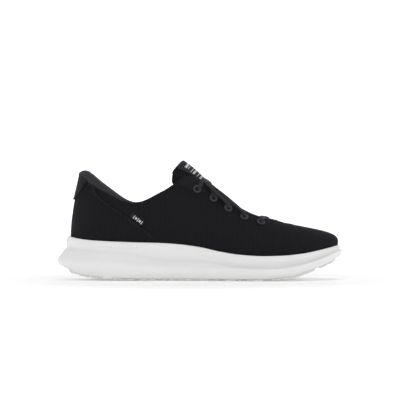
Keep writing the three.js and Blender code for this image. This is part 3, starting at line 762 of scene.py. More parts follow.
def blend_colour(tree, factor, a, b):
    """Colour a at factor 0, b at factor 1; each is a node's output or linear RGB."""
    mixed = add(tree, "ShaderNodeMix", {"Factor": factor}, data_type="RGBA")
    for socket, value in ((mixed.inputs[6], a), (mixed.inputs[7], b)):
        if isinstance(value, bpy.types.NodeSocket):
            tree.links.new(value, socket)
        else:
            socket.default_value = (*value, 1)
    return mixed.outputs[2]


def start(name):
    """A new material with its node tree, its shader and where a point is: object metres and the
    piece's own cloth coordinates in millimetres."""
    made = bpy.data.materials.new(name)
    made.use_nodes = True
    tree = made.node_tree
    shader = tree.nodes["Principled BSDF"]
    place = add(tree, "ShaderNodeTexCoord").outputs["Object"]
    flat = add(tree, "ShaderNodeUVMap", uv_map="Cloth").outputs[0]
    cloth = add(tree, "ShaderNodeSeparateXYZ", {0: flat})
    return made, tree, shader, place, cloth.outputs[0], cloth.outputs[1]


def close(tree, shader, colour, rough, height, depth, **constants):
    """Links colour, roughness and a bump of that depth in millimetres, and sets the constants."""
    tree.links.new(colour, shader.inputs["Base Color"])
    if isinstance(rough, bpy.types.NodeSocket):
        tree.links.new(rough, shader.inputs["Roughness"])
    else:
        shader.inputs["Roughness"].default_value = rough
    bump = add(tree, "ShaderNodeBump", {"Height": height, "Distance": depth * MM, "Strength": 1.0})
    tree.links.new(bump.outputs[0], shader.inputs["Normal"])
    for key, value in constants.items():
        shader.inputs[key.replace("_", " ")].default_value = value


def shade(colour, factor):
    """The colour made darker or lighter by factor."""
    return tuple(min(1.0, c * factor) for c in colour)


def eva_foam(colour):
    """Compression-moulded EVA: a matt white skin with a fine closed-cell grain, a little light
    passing through, and handling dust low on the side walls. Short dashes are debossed in the
    outer heel band."""
    made, tree, shader, place, _, _ = start("EVA foam, moulded")
    x, y, z = add(tree, "ShaderNodeSeparateXYZ", {0: place}).outputs
    grain = mottle(tree, place, 2200)  # cells of about 0.5 mm
    cloud = mottle(tree, place, 45)
    # Warmer, greyer tint in patches, strongest at the ground and gone by 12 mm up the side walls.
    low = ramp(tree, z, 0.001, 0.012, 1, 0)
    low_greying = reckon(tree, "MULTIPLY", low, ramp(tree, cloud, 0.35, 0.7, 0.2, 1))
    tint = blend_colour(tree, low_greying, colour, linear("#E0DED8"))
    # Dashes 2.2 mm apart, 32 mm along and 3 mm high, leaning with the heel.
    along_row = reckon(tree, "MULTIPLY_ADD", z, 0.35, x)
    dash = ramp(tree, wave(tree, along_row, 0.0044), 0.45, 0.6)
    inside = band(tree, x, -0.0945, -0.0935, -0.0625, -0.0615)
    level = band(tree, z, 0.0325, 0.0331, 0.0359, 0.0365)
    outer_side = ramp(tree, y, -0.012, -0.01, 1, 0)
    dash_hollow_and_shade = reckon(tree, "MULTIPLY", reckon(tree, "MULTIPLY", inside, level), outer_side)
    dash_hollow_and_shade = reckon(tree, "MULTIPLY", dash_hollow_and_shade, dash)
    # The dashes are tinted grey: painted shade in their debossed hollows, over the real relief below.
    tint = blend_colour(tree, reckon(tree, "MULTIPLY", dash_hollow_and_shade, 0.14), tint, linear("#BFC0C2"))
    height = reckon(tree, "MULTIPLY_ADD", dash_hollow_and_shade, -4.0, grain)
    close(tree, shader, tint, ramp(tree, cloud, 0.3, 0.7, 0.5, 0.62), height, 0.05,
          Subsurface_Weight=0.12, Subsurface_Scale=0.004, Specular_IOR_Level=0.4)
    shader.inputs["Subsurface Radius"].default_value = (1.0, 0.9, 0.8)
    return made


def moulded_rubber(colour):
    """Pale solid rubber: harder and a touch greyer than the foam, with a fine moulded grain and
    scuffs where it meets the ground."""
    made, tree, shader, place, _, _ = start("Rubber, moulded")
    z = add(tree, "ShaderNodeSeparateXYZ", {0: place}).outputs[2]
    scuff = mottle(tree, place, 160, 6)
    worn = reckon(tree, "MULTIPLY", ramp(tree, z, 0.0, 0.004, 1, 0.15), ramp(tree, scuff, 0.45, 0.65))
    tint = blend_colour(tree, worn, colour, linear("#B9B6AE"))
    close(tree, shader, tint, ramp(tree, scuff, 0.3, 0.7, 0.5, 0.75), mottle(tree, place, 1800), 0.04)
    return made


def mesh_knit(colour, name="Polyester knit, engineered mesh", pitch=1.6, knot=1.0):
    """Warp-knitted polyester: matt near-black yarn with a diamond lattice of raised lighter knots,
    pitch mm apart, the yarn's ribs between them and a dusty sheen at grazing angles. A fine knit's
    knots would be too small to show in a picture of the whole shoe, so they are drawn coarser."""
    made, tree, shader, place, u, v = start(name)
    a = wave(tree, reckon(tree, "ADD", u, v), pitch * 1.414)
    b = wave(tree, reckon(tree, "SUBTRACT", u, v), pitch * 1.414)
    lattice = reckon(tree, "MULTIPLY", a, b)
    dot = ramp(tree, lattice, 0.3, 0.62, 0, knot)
    rib = wave(tree, u, pitch / 3)  # three yarns to a knot
    cloud = mottle(tree, place, 60)
    yarn = mottle(tree, place, 900, 2)
    body = blend_colour(tree, cloud, shade(colour, 0.22), shade(colour, 0.4))
    body = blend_colour(tree, reckon(tree, "MULTIPLY", yarn, 0.5), body, shade(colour, 1.1))
    tint = blend_colour(tree, dot, body, shade(colour, 4.4))
    height = reckon(tree, "MULTIPLY_ADD", rib, 0.22, reckon(tree, "MULTIPLY_ADD", yarn, 0.3, dot))
    close(tree, shader, tint, 0.95, height, 0.25, Sheen_Weight=0.07, Sheen_Roughness=0.5,
          Specular_IOR_Level=0.14)
    shader.inputs["Sheen Tint"].default_value = (*linear("#8D8A96"), 1)
    return made


def woven_cloth(name, colour, thread, sheen, twill=True, rough=0.85, tint_hex="#9A9AA2"):
    """Woven or brushed cloth of that thread spacing in mm: each thread is a low ridge, over one and
    under the next, in plain weave or in a slanting twill; the pile gives a soft sheen."""
    made, tree, shader, place, u, v = start(name)
    warp = wave(tree, u, thread)
    weft = wave(tree, v, thread)
    cross = wave(tree, reckon(tree, "ADD", u, v), thread * 2)
    if twill:
        weave = reckon(tree, "MULTIPLY_ADD", warp, 0.4, cross)
    else:
        weave = reckon(tree, "MULTIPLY", warp, weft)
    cloud, fuzz = mottle(tree, place, 70), mottle(tree, place, 1500, 2)
    body = blend_colour(tree, cloud, shade(colour, 0.85), shade(colour, 1.2))
    body = blend_colour(tree, reckon(tree, "MULTIPLY", weave, 0.45), body, shade(colour, 1.5))
    height = reckon(tree, "MULTIPLY_ADD", fuzz, 0.6, weave)
    close(tree, shader, body, rough, height, 0.12, Sheen_Weight=sheen, Sheen_Roughness=0.4,
          Specular_IOR_Level=0.25)
    shader.inputs["Sheen Tint"].default_value = (*linear(tint_hex), 1)
    return made


def striped_label(colour, light, stripes, name):
    """Damask label: dark satin weave with light stripes woven across it, given as (from, to, half
    width) in mm, each a little broken by the weave."""
    made, tree, shader, place, u, v = start(name)
    mask = None
    for low, high, edge in stripes:
        on = band(tree, u, low - 0.15, low + 0.15, high - 0.15, high + 0.15)
        within = reckon(tree, "LESS_THAN", reckon(tree, "ABSOLUTE", v), edge)
        on = reckon(tree, "MULTIPLY", on, within)
        mask = on if mask is None else reckon(tree, "MAXIMUM", mask, on)
    thread = reckon(tree, "MULTIPLY", wave(tree, u, 0.5), wave(tree, v, 0.35))
    broken = reckon(tree, "MULTIPLY", mask, ramp(tree, mottle(tree, place, 700, 2), 0.3, 0.5, 0.55, 1))
    tint = blend_colour(tree, broken, blend_colour(tree, thread, colour, shade(colour, 1.7)), light)
    height = reckon(tree, "MULTIPLY_ADD", mask, 0.5, thread)
    close(tree, shader, tint, 0.7, height, 0.1, Sheen_Weight=0.06, Specular_IOR_Level=0.25)
    return made


def lacquered_ring(colour):
    """Die-cast eyelet with baked matt lacquer: blue-grey, lightly orange-peeled, rubbed brighter on
    its crown."""
    made, tree, shader, place, _, _ = start("Zinc alloy, lacquered")
    rub = mottle(tree, place, 500, 4)
    tint = blend_colour(tree, ramp(tree, rub, 0.5, 0.75), colour, shade(colour, 1.7))
    close(tree, shader, tint, ramp(tree, rub, 0.3, 0.7, 0.38, 0.52), mottle(tree, place, 2500, 2), 0.02,
          Metallic=0.35)
    return made


def braided_lace(colour):
    """Flat braided polyester: a herringbone of 0.8 mm picks along the lace, slightly glossy."""
    made, tree, shader, place, u, v = start("Polyester lace, braided")
    slant = reckon(tree, "ABSOLUTE", reckon(tree, "SUBTRACT", reckon(tree, "PINGPONG", v, 1.6), 0.8))
    pick = wave(tree, reckon(tree, "MULTIPLY_ADD", slant, 1.2, u), 0.8)
    cloud = mottle(tree, place, 300)
    body = blend_colour(tree, cloud, shade(colour, 0.8), shade(colour, 1.3))
    body = blend_colour(tree, reckon(tree, "MULTIPLY", pick, 0.6), body, shade(colour, 2.0))
    close(tree, shader, body, 0.7, pick, 0.12, Sheen_Weight=0.06, Specular_IOR_Level=0.3)
    shader.inputs["Sheen Tint"].default_value = (*linear("#85858C"), 1)
    return made


def board_fibre(name, colour, scale):
    """Stiff fibre board or thermoplastic sheet inside the shoe: matt, with a felted fleck."""
    made, tree, shader, place, _, _ = start(name)
    fleck = mottle(tree, place, scale, 5)
    tint = blend_colour(tree, ramp(tree, fleck, 0.35, 0.65), shade(colour, 0.8), shade(colour, 1.15))
    close(tree, shader, tint, ramp(tree, fleck, 0.3, 0.7, 0.7, 0.95), fleck, 0.08)
    return made


# ------------------------------------------------------------------ settings
def colour_setting(name, description, code):
    """A colour in the sidebar, from its sRGB hex code."""
    return bpy.props.FloatVectorProperty(
        name=name, description=description, subtype="COLOR", size=3, min=0, max=1, default=linear(code)
    )


class ShoeColours(bpy.types.PropertyGroup):
    foam: colour_setting("Midsole foam", "Colour of the moulded midsole", "#E4E4E4")
    rubber: colour_setting("Outsole rubber", "Colour of the ground pads", "#E2E1DD")
    knit: colour_setting("Knit", "Colour of the upper's knit", "#131215")
    cloth: colour_setting("Smooth cloth", "Colour of the collar and pull tab", "#2A2A2F")
    lining: colour_setting("Lining", "Colour inside the shoe", "#1A1A1D")
    lace: colour_setting("Lace", "Colour of the lace", "#1D1D20")
    eyelet: colour_setting("Eyelets", "Colour of the lacquered rings", "#343A41")
    label: colour_setting("Label", "Ground colour of the woven labels", "#1A1A1D")
    print: colour_setting("Label stripes", "Colour of the stripes in the labels", "#C9CACE")


def length_setting(name, description, low, high, value):
    """A length in the sidebar, in metres."""
    return bpy.props.FloatProperty(
        name=name, description=description, unit="LENGTH", min=low, max=high, default=value
    )


class ShoeSizes(bpy.types.PropertyGroup):
    lace_width: length_setting("Lace width", "Width of the flat lace", 0.002, 0.008, 0.0044)
    lace_thickness: length_setting("Lace thickness", "Thickness of the lace", 0.0006, 0.003, 0.0013)
    knit_pitch: length_setting("Knit pitch", "Spacing of the knots in the knit", 0.0005, 0.004, 0.0018)
    stitch_pitch: length_setting("Stitch pitch", "Spacing of the seams' stitches", 0.001, 0.006, 0.0024)
    swell: length_setting("Padding swell", "Most that a padded piece swells by", 0, 0.003, 0.0009)


def colour_of(context, key):
    """The sidebar's present colour of that name."""
    return tuple(getattr(context.scene.shoe_colours, key))


FINISHES = {}
# Stripes of the tongue's label and of the side tag: from, to and half width, in mm.
STRIPES = [
    (4.6, 7.2, 11.0), (8.4, 9.1, 11.0), (13.0, 13.7, 12.8), (15.6, 17.6, 12.8), (20.9, 21.6, 12.8),
    (24.2, 26.2, 12.8),
]
DASHES = [(1.6, 2.4, 1.9), (3.6, 5.4, 1.2), (6.4, 7.2, 1.9), (8.4, 10.2, 1.2), (11.4, 12.2, 1.9)]


def finish(context, key):
    """The material of that name, made on first use from the colours in the sidebar."""
    if key not in FINISHES:
        def colour(name):
            return colour_of(context, name)

        pitch = context.scene.shoe_sizes.knit_pitch / MM
        makers = {
            "foam": lambda: eva_foam(colour("foam")),
            "rubber": lambda: moulded_rubber(colour("rubber")),
            "knit": lambda: mesh_knit(colour("knit"), pitch=pitch),
            "tongue": lambda: mesh_knit(colour("knit"), "Spacer mesh, tongue", 1.8, 0.7),
            "lining": lambda: mesh_knit(colour("lining"), "Spacer mesh, lining", 2.0, 0.6),
            "facing": lambda: woven_cloth(
                "Knit facing, ribbed", shade(colour("knit"), 1.1), 0.9, 0.06, False, 0.92
            ),
            "collar": lambda: woven_cloth("Brushed jersey, padded", colour("cloth"), 0.7, 0.14),
            "tab": lambda: woven_cloth("Twill tape", shade(colour("cloth"), 0.24), 0.8, 0.03),
            "insole": lambda: woven_cloth("Footbed jersey", shade(colour("lining"), 1.3), 0.8, 0.15),
            "thread": lambda: woven_cloth(
                "Bonded thread", shade(colour("cloth"), 0.75), 0.3, 0.1, False, 0.6
            ),
            "label": lambda: striped_label(
                shade(colour("label"), 0.6), colour("print"), STRIPES, "Damask label, tongue"
            ),
            "tag": lambda: striped_label(
                shade(colour("label"), 0.8), colour("print"), DASHES, "Damask tag, side"
            ),
            "eyelet": lambda: lacquered_ring(colour("eyelet")),
            "lace": lambda: braided_lace(colour("lace")),
            "board": lambda: board_fibre("Strobel board, felted", linear("#B9B09E"), 400),
            "stiffener": lambda: board_fibre("Thermoplastic stiffener", linear("#3C3C40"), 250),
        }
        FINISHES[key] = makers[key]()
    return FINISHES[key]


# ------------------------------------------------------------------ pieces
def make_midsole(context):
    """Surface: at each plan station a section B-spline through (inset, height) controls, from under
    the shoe, round the lower bevel, the flare, the groove and the rim, and down into the dish."""
    columns, rows = 420, 62
    u = np.arange(columns) / columns
    s = station(u)
    bi, ci, gi, ri, width = BASE_IN(s), CREASE_IN(s), GROOVE_IN(s), RIM_IN(s), rim_width(s)

    def level(line, extra):
        return lambda t: line(t) + extra

    def between(a, b, k):
        return lambda t: a(t) + (b(t) - a(t)) * k

    low = level(BASE, PAD_THICK)
    groove, top = level(GROOVE, GROOVE_DROP), RIM
    controls = [
        (bi + 3, low), (bi, low), (bi - 0.6, level(BASE, PAD_THICK + 0.7)),
        ((bi + ci) / 2 - 0.5, between(low, CREASE, 0.55)), (ci + 0.2, level(CREASE, -0.5)),
        (ci - 0.5, level(CREASE, 0.6)), (ci * 0.25, between(CREASE, FLARE, 0.5)),
        (-0.25 + 0 * s, level(FLARE, -0.4)),
        (-0.1 + gi * 0.06, level(FLARE, 2)), (gi * 0.34, between(FLARE, GROOVE, 0.4)),
        (gi * 0.8, between(FLARE, GROOVE, 0.78)),
        (gi + 0.6, level(GROOVE, -0.8)), (gi + 1.5, level(GROOVE, 0.8)),
        (gi * 0.8 + ri * 0.2 + 0.7, between(groove, top, 0.22)),
        ((gi + ri) / 2 - 0.5, between(groove, top, 0.45)),
        (gi * 0.2 + ri * 0.8 - 0.7, between(groove, top, 0.72)),
        (ri - 0.1, level(RIM, -1.6)), (ri + 0.1 * width, level(RIM, -0.3)),
        (ri + 0.35 * width, level(RIM, 0.15)), (ri + 0.75 * width, level(RIM, 0.1)),
        (ri + width, level(RIM, -0.6)), (ri + width, level(RIM, -3)),
        (ri + width, level(RIM, -RIM_WALL)),
    ]
    points = []
    for inset, height in controls:
        xy = plan(u, inset)
        points.append(stack(xy[:, 0], xy[:, 1], height(xy[:, 0] / HALF)))
    piece = put("midsole_foam", loft(bspline(points, rows)), finish(context, "foam"))
    seat(piece, "midsole_foam", stands_for=["midsole"])


# Each pad from the heel: its ends and its sipes, as shares of the half length.
PADS = [
    (-0.915, -0.676, (-0.851, -0.759)),
    (-0.612, -0.299, (-0.5, -0.41)),
    (-0.242, 0.063, (-0.14, -0.04)),
    (0.11, 0.447, (0.194, 0.276, 0.364)),
    (0.494, 0.799, (0.571, 0.648, 0.722)),
    (0.832, 0.958, (0.895,)),
]


def make_outsole(context):
    """Each pad is a grid of cross sections. Its ground face rises by the sipes, by a herringbone of
    grooves 6.5 mm apart that slant from the middle line, and by the rounding of its edges."""
    u = np.linspace(0, 1, 801)
    s = station(u)
    edge = plan(u, BASE_IN(s) + PAD_INSET)
    half = 400
    for number, (low, high, sipes) in enumerate(PADS, 1):
        x = np.linspace(low * HALF, high * HALF, 90)
        outer = np.interp(x, edge[: half + 1, 0], edge[: half + 1, 1])
        inner = np.interp(x, edge[:half:-1, 0], edge[:half:-1, 1])
        k = np.linspace(0, 1, 72)
        y = outer[:, None] + (inner - outer)[:, None] * k
        xx = np.broadcast_to(x[:, None], y.shape)
        off_middle = np.abs(y - (outer + inner)[:, None] / 2)
        slant = (xx + 0.45 * off_middle) / TREAD_STEP
        cut = 0.7 * smooth(np.cos(2 * np.pi * slant), 0.72, 0.9) * smooth(off_middle, 2, 3)
        rib = 0.35 * smooth(np.cos(2 * np.pi * (y / 5.2)), 0.88, 0.98)
        for middle in sipes:
            cut = np.maximum(cut, SIPE_DEPTH * smooth(0.95 - np.abs(xx - middle * HALF), 0, 0.5))
        ends = np.minimum(xx - x[0], x[-1] - xx)
        rim = np.minimum(np.minimum(y - outer[:, None], inner[:, None] - y), ends)
        round_off = 0.7 * (1 - np.sqrt(1 - np.clip(1 - rim / 1.2, 0, 1) ** 2))
        ground = BASE(xx / HALF) + np.clip(np.maximum(cut, rib) + round_off, 0, 1.4)
        roof = BASE(xx / HALF) + PAD_THICK - 0.1
        bottom, top = stack(xx, y, ground), stack(xx, y, roof)
        loops = np.concatenate([bottom, top[:, ::-1]], 1)
        piece = put(f"ground_pad_{number}", loft(loops), finish(context, "rubber"))
        seat(piece, "outsole_rubber", stands_for=[f"outsole_pad_{number}"])


def cloth_uv(points):
    """Cloth coordinates in mm that lie evenly over the forefoot: along the shoe, and round the foot
    as the angle about the rim's height times the distance from it."""
    x, y, z = points[..., 0], points[..., 1], points[..., 2]
    base = RIM(x / HALF) - 14
    reach = np.hypot(y, z - base)
    return stack(x, np.arctan2(z - base, np.abs(y)) * reach * np.where(y < 0, 1, -1))


def close_uv(uv):
    """The same coordinates with the first column repeated last, for a closed loop."""
    return np.concatenate([uv, uv[:, :1]], 1)


def make_upper(context):
    """The vamp and quarters in one knitted wall, from just under the rear seam on one side round
    the toe to the other: two faces 1.2 mm apart with rounded edges. Flex creases cross the vamp
    where the toes bend: shallow folds that die out down the sides."""
    rows, columns = 54, 420
    v = np.linspace(0.02, 1, rows)
    t = np.linspace(0, 1, columns)
    tuck = 0.007
    a, b = seam_u(v, False) - tuck, seam_u(v, True) + tuck
    u = a[:, None] + (b - a)[:, None] * t
    vv = np.broadcast_to(v[:, None], u.shape)
    p = face(u, vv)
    bend = smooth(p[..., 2], 34, 52) * np.exp(-(((p[..., 0] - 84) / 17) ** 2))
    crease = 0.28 * bend * np.sin((p[..., 0] + 0.1 * np.abs(p[..., 1])) * 2 * np.pi / 11.5)
    under = smooth(vv, 0.1, 0.16) * (-0.25)
    edge_dip = -0.9 * np.maximum(smooth(0.012 - t, 0, 0.006), smooth(t, 0.988, 0.994))
    lift = crease + under + 0.25 + edge_dip
    outer = skin(u, vv, lift)
    inner = skin(u, vv, lift - KNIT_THICK)
    loops = rolled(outer, inner)
    uv = close_uv(cloth_uv(loops))
    piece = put("knit_upper_cloth", loft(loops, uv=uv), finish(context, "knit"))
    pierce(piece)
    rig.sheet(piece, flat=(0.24, 0.26), held="stretched", rests_on=["lining_sleeve"], area=0.031)
    seat(piece, "knit", stands_for=["knit_upper"], fold=True)


def heel_wall(u, z, lift):
    """A point of the heel's outside at height z: on the panel up to its edge, and above the edge on
    the collar's outside, moved outwards by lift."""
    u, z, lift = np.broadcast_arrays(u, z, lift)
    grid = np.linspace(0.14, 1, 160)
    heights = face(u[..., None], grid)[..., 2]
    k = np.clip((heights < z[..., None]).sum(-1), 1, len(grid) - 1)[..., None]
    low, high = (np.take_along_axis(heights, i, -1)[..., 0] for i in (k - 1, k))
    v = grid[k[..., 0] - 1] + (grid[1] - grid[0]) * np.clip((z - low) / (high - low), 0, 1)
    rise = np.maximum(0, z - heights[..., -1])
    way = outward(u, np.minimum(v, 0.97))
    flat = unit(way * [1, 1, 0])
    at = face(u, v) + rise[..., None] * (np.array([0, 0, 1.0]) - 0.12 * flat)
    return at + lift[..., None] * np.where(rise[..., None] > 0, flat, way)


def make_heel_panel(context):
    """Mesh panel behind the seam, lapped over the quarters: its lift is highest along its front
    edge, as e^-(distance / 3 mm)^2, where it is turned under and stitched twice."""
    rows, columns = 44, 220
    v = np.linspace(0.02, 1, rows)
    t = np.linspace(0, 1, columns)
    a, b = seam_u(v, False), seam_u(v, True) - 1
    u = b[:, None] + (a - b)[:, None] * t
    vv = np.broadcast_to(v[:, None], u.shape)
    across = np.linalg.norm(np.diff(face(u, vv), axis=1), axis=2)
    run = np.concatenate([np.zeros((rows, 1)), np.cumsum(across, 1)], 1)
    near = np.minimum(run, run[:, -1:] - run)
    lift = 0.45 + 0.85 * np.exp(-((near / 3.0) ** 2)) * smooth(vv, 0.12, 0.2) - 0.2
    outer, inner = skin(u, vv, lift), skin(u, vv, lift - PANEL_THICK)
    loops = rolled(outer, inner)
    middle = run - run[:, -1:] / 2
    up = run_along(face(0.05, v))
    front = stack(middle, np.broadcast_to(up[:, None], middle.shape))
    rest = np.repeat(front[-1:], 3, 0), front[::-1], np.repeat(front[:1], 3, 0)
    uv = close_uv(np.concatenate([front, *rest]).transpose(1, 0, 2))
    piece = put("heel_panel_cloth", loft(loops, uv=uv), finish(context, "knit"))
    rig.sheet(piece, flat=(0.2, 0.075), held="stretched", rests_on=["lining_sleeve"], area=0.0118)
    seat(piece, "knit", stands_for=["heel_panel"], fold=True)


def make_lining(context):
    """Foam-backed lining all round the inside. Its inner face stands off the knit by 4.9 mm low
    down, where it covers the stiffeners, and thins to 2.1 mm at the free edge in front of the
    ankle; at the heel it stays thick up to the collar."""
    rows, columns = 34, 320
    v = np.linspace(0.01, 0.992, rows)
    u = np.arange(columns) / columns
    uu, vv = np.meshgrid(u, v)
    back = 1 - smooth(np.minimum(uu, 1 - uu) * SPANS, 2.3, 3.6)
    toe = 2.4 * smooth(0.07 - np.abs(uu - 0.5), 0, 0.05)
    deep = 4.9 + toe - (2.8 - 0.5 * back + toe) * smooth(vv, 0.55, 0.95) * (1 - 0.75 * back)
    outer, inner = skin(uu, vv, -1.25), skin(uu, vv, -deep)
    loops = rolled(outer, inner)
    rim = run_along(face(u, 0.5))
    rise = run_along(loops[5])
    uv = stack(np.r_[rim, rim[-1] + 2][:, None], np.r_[rise, rise[-1] + 3][None])
    piece = put("lining_sleeve", loft(loops, uv=uv, wrap=True), finish(context, "lining"))
    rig.padded(piece, fill=0.4)
    seat(piece, "insole_cloth", fold=True)


def make_topline(context):
    """Turned edge of the quarters and throat: an oval roll 1.5 mm across along the free edge, from
    one dip round the throat to the other."""
    u = np.linspace(2.5 / SPANS, 1 - 2.5 / SPANS, 380)
    path = skin(u, np.ones_like(u), -0.95)
    out = outward(u, np.full_like(u, 0.985))
    made = tube(path, oval(1.35, 1.25, 14), out)
    piece = put("topline_roll", made, finish(context, "facing"))
    seat(piece, "knit", fold=True)


def stay_low(u):
    """v of the throat facing's lower edge."""
    return 0.94 - 0.14 * smooth(np.abs(u - 0.5), 0.01, 0.09)


def make_facing(context):
    """Bonded strip round the throat under the eyelets: 0.7 mm thick, its lower edge a smooth U and
    its ribs parallel to the edge, with a press line 3 mm inside."""
    start_u = EYELETS[0][0] - 0.04
    u = np.linspace(start_u, 1 - start_u, 260)
    k = np.linspace(0, 1, 18)
    low = 0.99 - (0.99 - stay_low(u)) * smooth(0.5 - start_u - np.abs(u - 0.5), 0, 0.03)
    v = low[:, None] + (0.99 - low[:, None]) * k
    uu = np.broadcast_to(u[:, None], v.shape)
    dip = -0.12 * np.exp(-(((k - 0.2) / 0.05) ** 2))
    lift = 0.3 + 0.35 * smooth(k, 0, 0.08) + dip
    outer = skin(uu, v, lift)
    inner = skin(uu, v, 0.0)
    loops = np.concatenate([outer, inner[:, ::-1]], 1)
    run = run_along(outer[:, 9])
    side = np.concatenate([k, k[::-1], k[:1]]) * 12
    uv = stack(side[None], run[:, None])
    piece = put("throat_facing", loft(loops, uv=uv), finish(context, "facing"))
    pierce(piece)
    seat(piece, "smooth_cloth", stands_for=["eyestay"])


COLLAR_RISE = along((0, 3.2), (0.8, 4.0), (1.2, 4.0), (2, 2.6), (2.6, 1.1), (3.0, 0.3))


def collar_loops(columns=150, around=46):
    """Sections of the padded collar from dip to dip. Each is a closed B-spline in (outwards,
    upwards): it laps the panel's edge, swells over it, and hangs down inside the heel in two sewn
    channels. Its size follows COLLAR_RISE."""
    reach = 3.0 / SPANS
    u = np.linspace(-reach, reach, columns)
    back = smooth(np.cos(u / reach * np.pi / 2), 0, 0.8)
    tall = 2 * COLLAR_RISE(np.abs(u) * SPANS)
    slim = smooth(reach - np.abs(u), 0, 0.5 / SPANS)
    wide = 1.6 + 2.8 * slim + 6.0 * back
    drop = 2 + 3 * slim + 21 * back
    zero = np.zeros_like(u)
    controls = [
        (0.1 + 0.5 * slim, 0.2 + zero), (0.3 + slim, 0.3 * tall), (0.3 + slim, 0.6 * tall),
        (0.2 - 0.1 * wide, 1.02 * tall), (-0.5 * wide, 1.12 * tall), (-0.9 * wide, 0.85 * tall),
        (-1.04 * wide, 0.3 * tall), (-1.02 * wide, -0.2 * drop), (-0.86 * wide, -0.38 * drop),
        (-0.82 * wide, -0.48 * drop), (-0.93 * wide, -0.6 * drop), (-0.8 * wide, -0.85 * drop),
        (-0.62 * wide, -drop), (-0.4 * wide, -1.02 * drop), (-0.36 * wide, -0.7 * drop),
        (-0.2 * wide, -1.5 - 1.5 * slim), (-0.05 * wide, -1.2 - 0.6 * slim),
    ]
    a, b = (np.array([c[i] for c in controls]) for i in (0, 1))
    edge = face(u, 1.0)
    out = unit(outward(u, 0.97) * [1, 1, 0])
    down = unit(face(u, 0.8) - edge)
    lean = np.array([0, 0, 1.0]) - 0.1 * out
    points = edge + a[..., None] * out
    points = points + np.where(b[..., None] < 0, -b[..., None] * down, b[..., None] * lean)
    return bspline(points, around, closed=True).transpose(1, 0, 2)


def make_collar(context):
    """Padded collar, swelled between its seams, which run where it laps the panel, along the
    channel inside and along its lower hem."""
    loops = collar_loops()
    made = loft(loops, "fan")
    piece = put("collar_padding", made, finish(context, "collar"))
    columns, around = loops.shape[:2]
    place = np.arange(around) / around * 17
    seam = np.minimum.reduce([np.abs(place - k) for k in (0.6, 9.2, 13.0, 15.0, 17.0)])
    pin = 1 - smooth(seam, 0.3, 1.1)
    from_end = np.minimum(np.arange(columns), np.arange(columns)[::-1])
    hold = np.maximum(pin[None], 1 - smooth(from_end, 2, 14)[:, None])
    puff(piece, np.r_[hold.ravel(), 1, 1], 5.0, context.scene.shoe_sizes.swell)
    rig.padded(piece, fill=0.8)
    seat(piece, "smooth_cloth", stands_for=["collar_band"], fold=True)


TAB_DIAGONAL = [(-131, 80.2), (-128.6, 83.7), (-115.5, 103.0), (-114.5, 104.5)]
TAB_TOP = [(-131, 111.4), (-124.3, 111.0), (-120.2, 107.3), (-115.2, 103.6), (-114, 102.6)]
TAB_HINGE = 106.4


def make_pull_tab(context):
    """Folded tape that wraps the back of the heel: a triangle in side view, from the collar's lower
    line down the diagonal to a free edge that stands proud of the panel, with a turned rim. Its
    sewn top, above the line it lifts about, is a piece of its own that stays on the collar."""
    probe = np.linspace(0, 1.6 / SPANS, 300)
    edge = heel_wall(probe, 103.4 + 0 * probe, 0.0)
    t = np.linspace(-1, 1, 120)
    u = t * probe[np.argmax(edge[:, 0] > -115.6)]
    x = heel_wall(u, 95 + 0 * u, 0.0)[:, 0]
    for _ in range(6):
        low = np.maximum(83.9, np.interp(x, *zip(*TAB_DIAGONAL)))
        x = 0.5 * x + 0.5 * heel_wall(u, low, 0.0)[:, 0]
    top_x = heel_wall(u, 105 + 0 * u, 0.0)[:, 0]
    high = np.maximum(np.interp(top_x, *zip(*TAB_TOP)), low + 0.4)
    split = np.minimum(high, TAB_HINGE)
    wing = 1 - np.abs(t)
    for name, body, foot, head, free in (
        ("pull_tab_tape", "pull_tab", low, split - 0.15, 1.0),
        ("pull_tab_anchor", None, split, high + 0.1, 0.0),
    ):
        w = np.linspace(0, 1, 34 if free else 10)
        z = foot[:, None] + (head - foot)[:, None] * w
        proud = 0.5 * free * (1 - w) ** 3 * (1 - t[:, None] ** 2)
        foot_rim = free * np.exp(-((w[None] / 0.05) ** 2))
        rim = 0.35 * np.maximum(foot_rim, np.exp(-((wing[:, None] / 0.04) ** 2)))
        lift = 1.35 + proud + rim
        uu = np.broadcast_to(u[:, None], z.shape)
        outer = heel_wall(uu, z, lift).transpose(1, 0, 2)
        deep = TAB_THICK + 0.35 * smooth(wing[:, None], 0, 0.2)
        inner = heel_wall(uu, z, lift - deep).transpose(1, 0, 2)
        piece = put(name, loft(rolled(outer, inner)), finish(context, "tab"))
        stands_for = ["pull_tab"] if free else ()
        seat(piece, "smooth_cloth", body=body, stands_for=stands_for, fold=not free)


TONGUE_FRONT = spline(
    [
        (84, 54.3), (71.5, 58), (58.6, 62.9), (42, 73.3), (25, 85.8), (12, 97.3), (2.4, 107.1),
        (-8, 116.6), (-17, 123.2),
    ],
    400,
)
TONGUE_HALF = along((0, 13), (0.2, 16.5), (0.5, 19), (0.78, 20.5), (0.93, 22), (0.98, 22.3), (1, 21.6))
TONGUE_PAD = along((0, 2.4), (0.3, 4.2), (0.75, 5.6), (0.93, 6.6), (1, 6.2))
TONGUE_CROWN = 21.5


def tongue_point(s, y, depth):
    """s along the front line, y across, depth into the foot. The tongue arches as y^2 / 2r, r
    shrinking towards its end, and its end bellies backwards and then curls in under the quarters."""
    s, y, depth = np.broadcast_arrays(s, y, depth)
    share = np.linspace(0, 1, len(TONGUE_FRONT))
    way = unit(np.gradient(TONGUE_FRONT, axis=0))
    ax, az = (np.interp(s, share, TONGUE_FRONT[:, i]) for i in (0, 1))
    wx, wz = (np.interp(s, share, way[:, i]) for i in (0, 1))
    near = smooth(s, 0.72, 1)
    sink = depth + y * y / (2 * (TONGUE_CROWN - 10.5 * near))
    on = near * (1.3 * smooth(sink, 0, 14) - 7 * smooth(sink, 16, 30))
    return stack(ax - wz * sink + wx * on, y, az + wx * sink + wz * on)


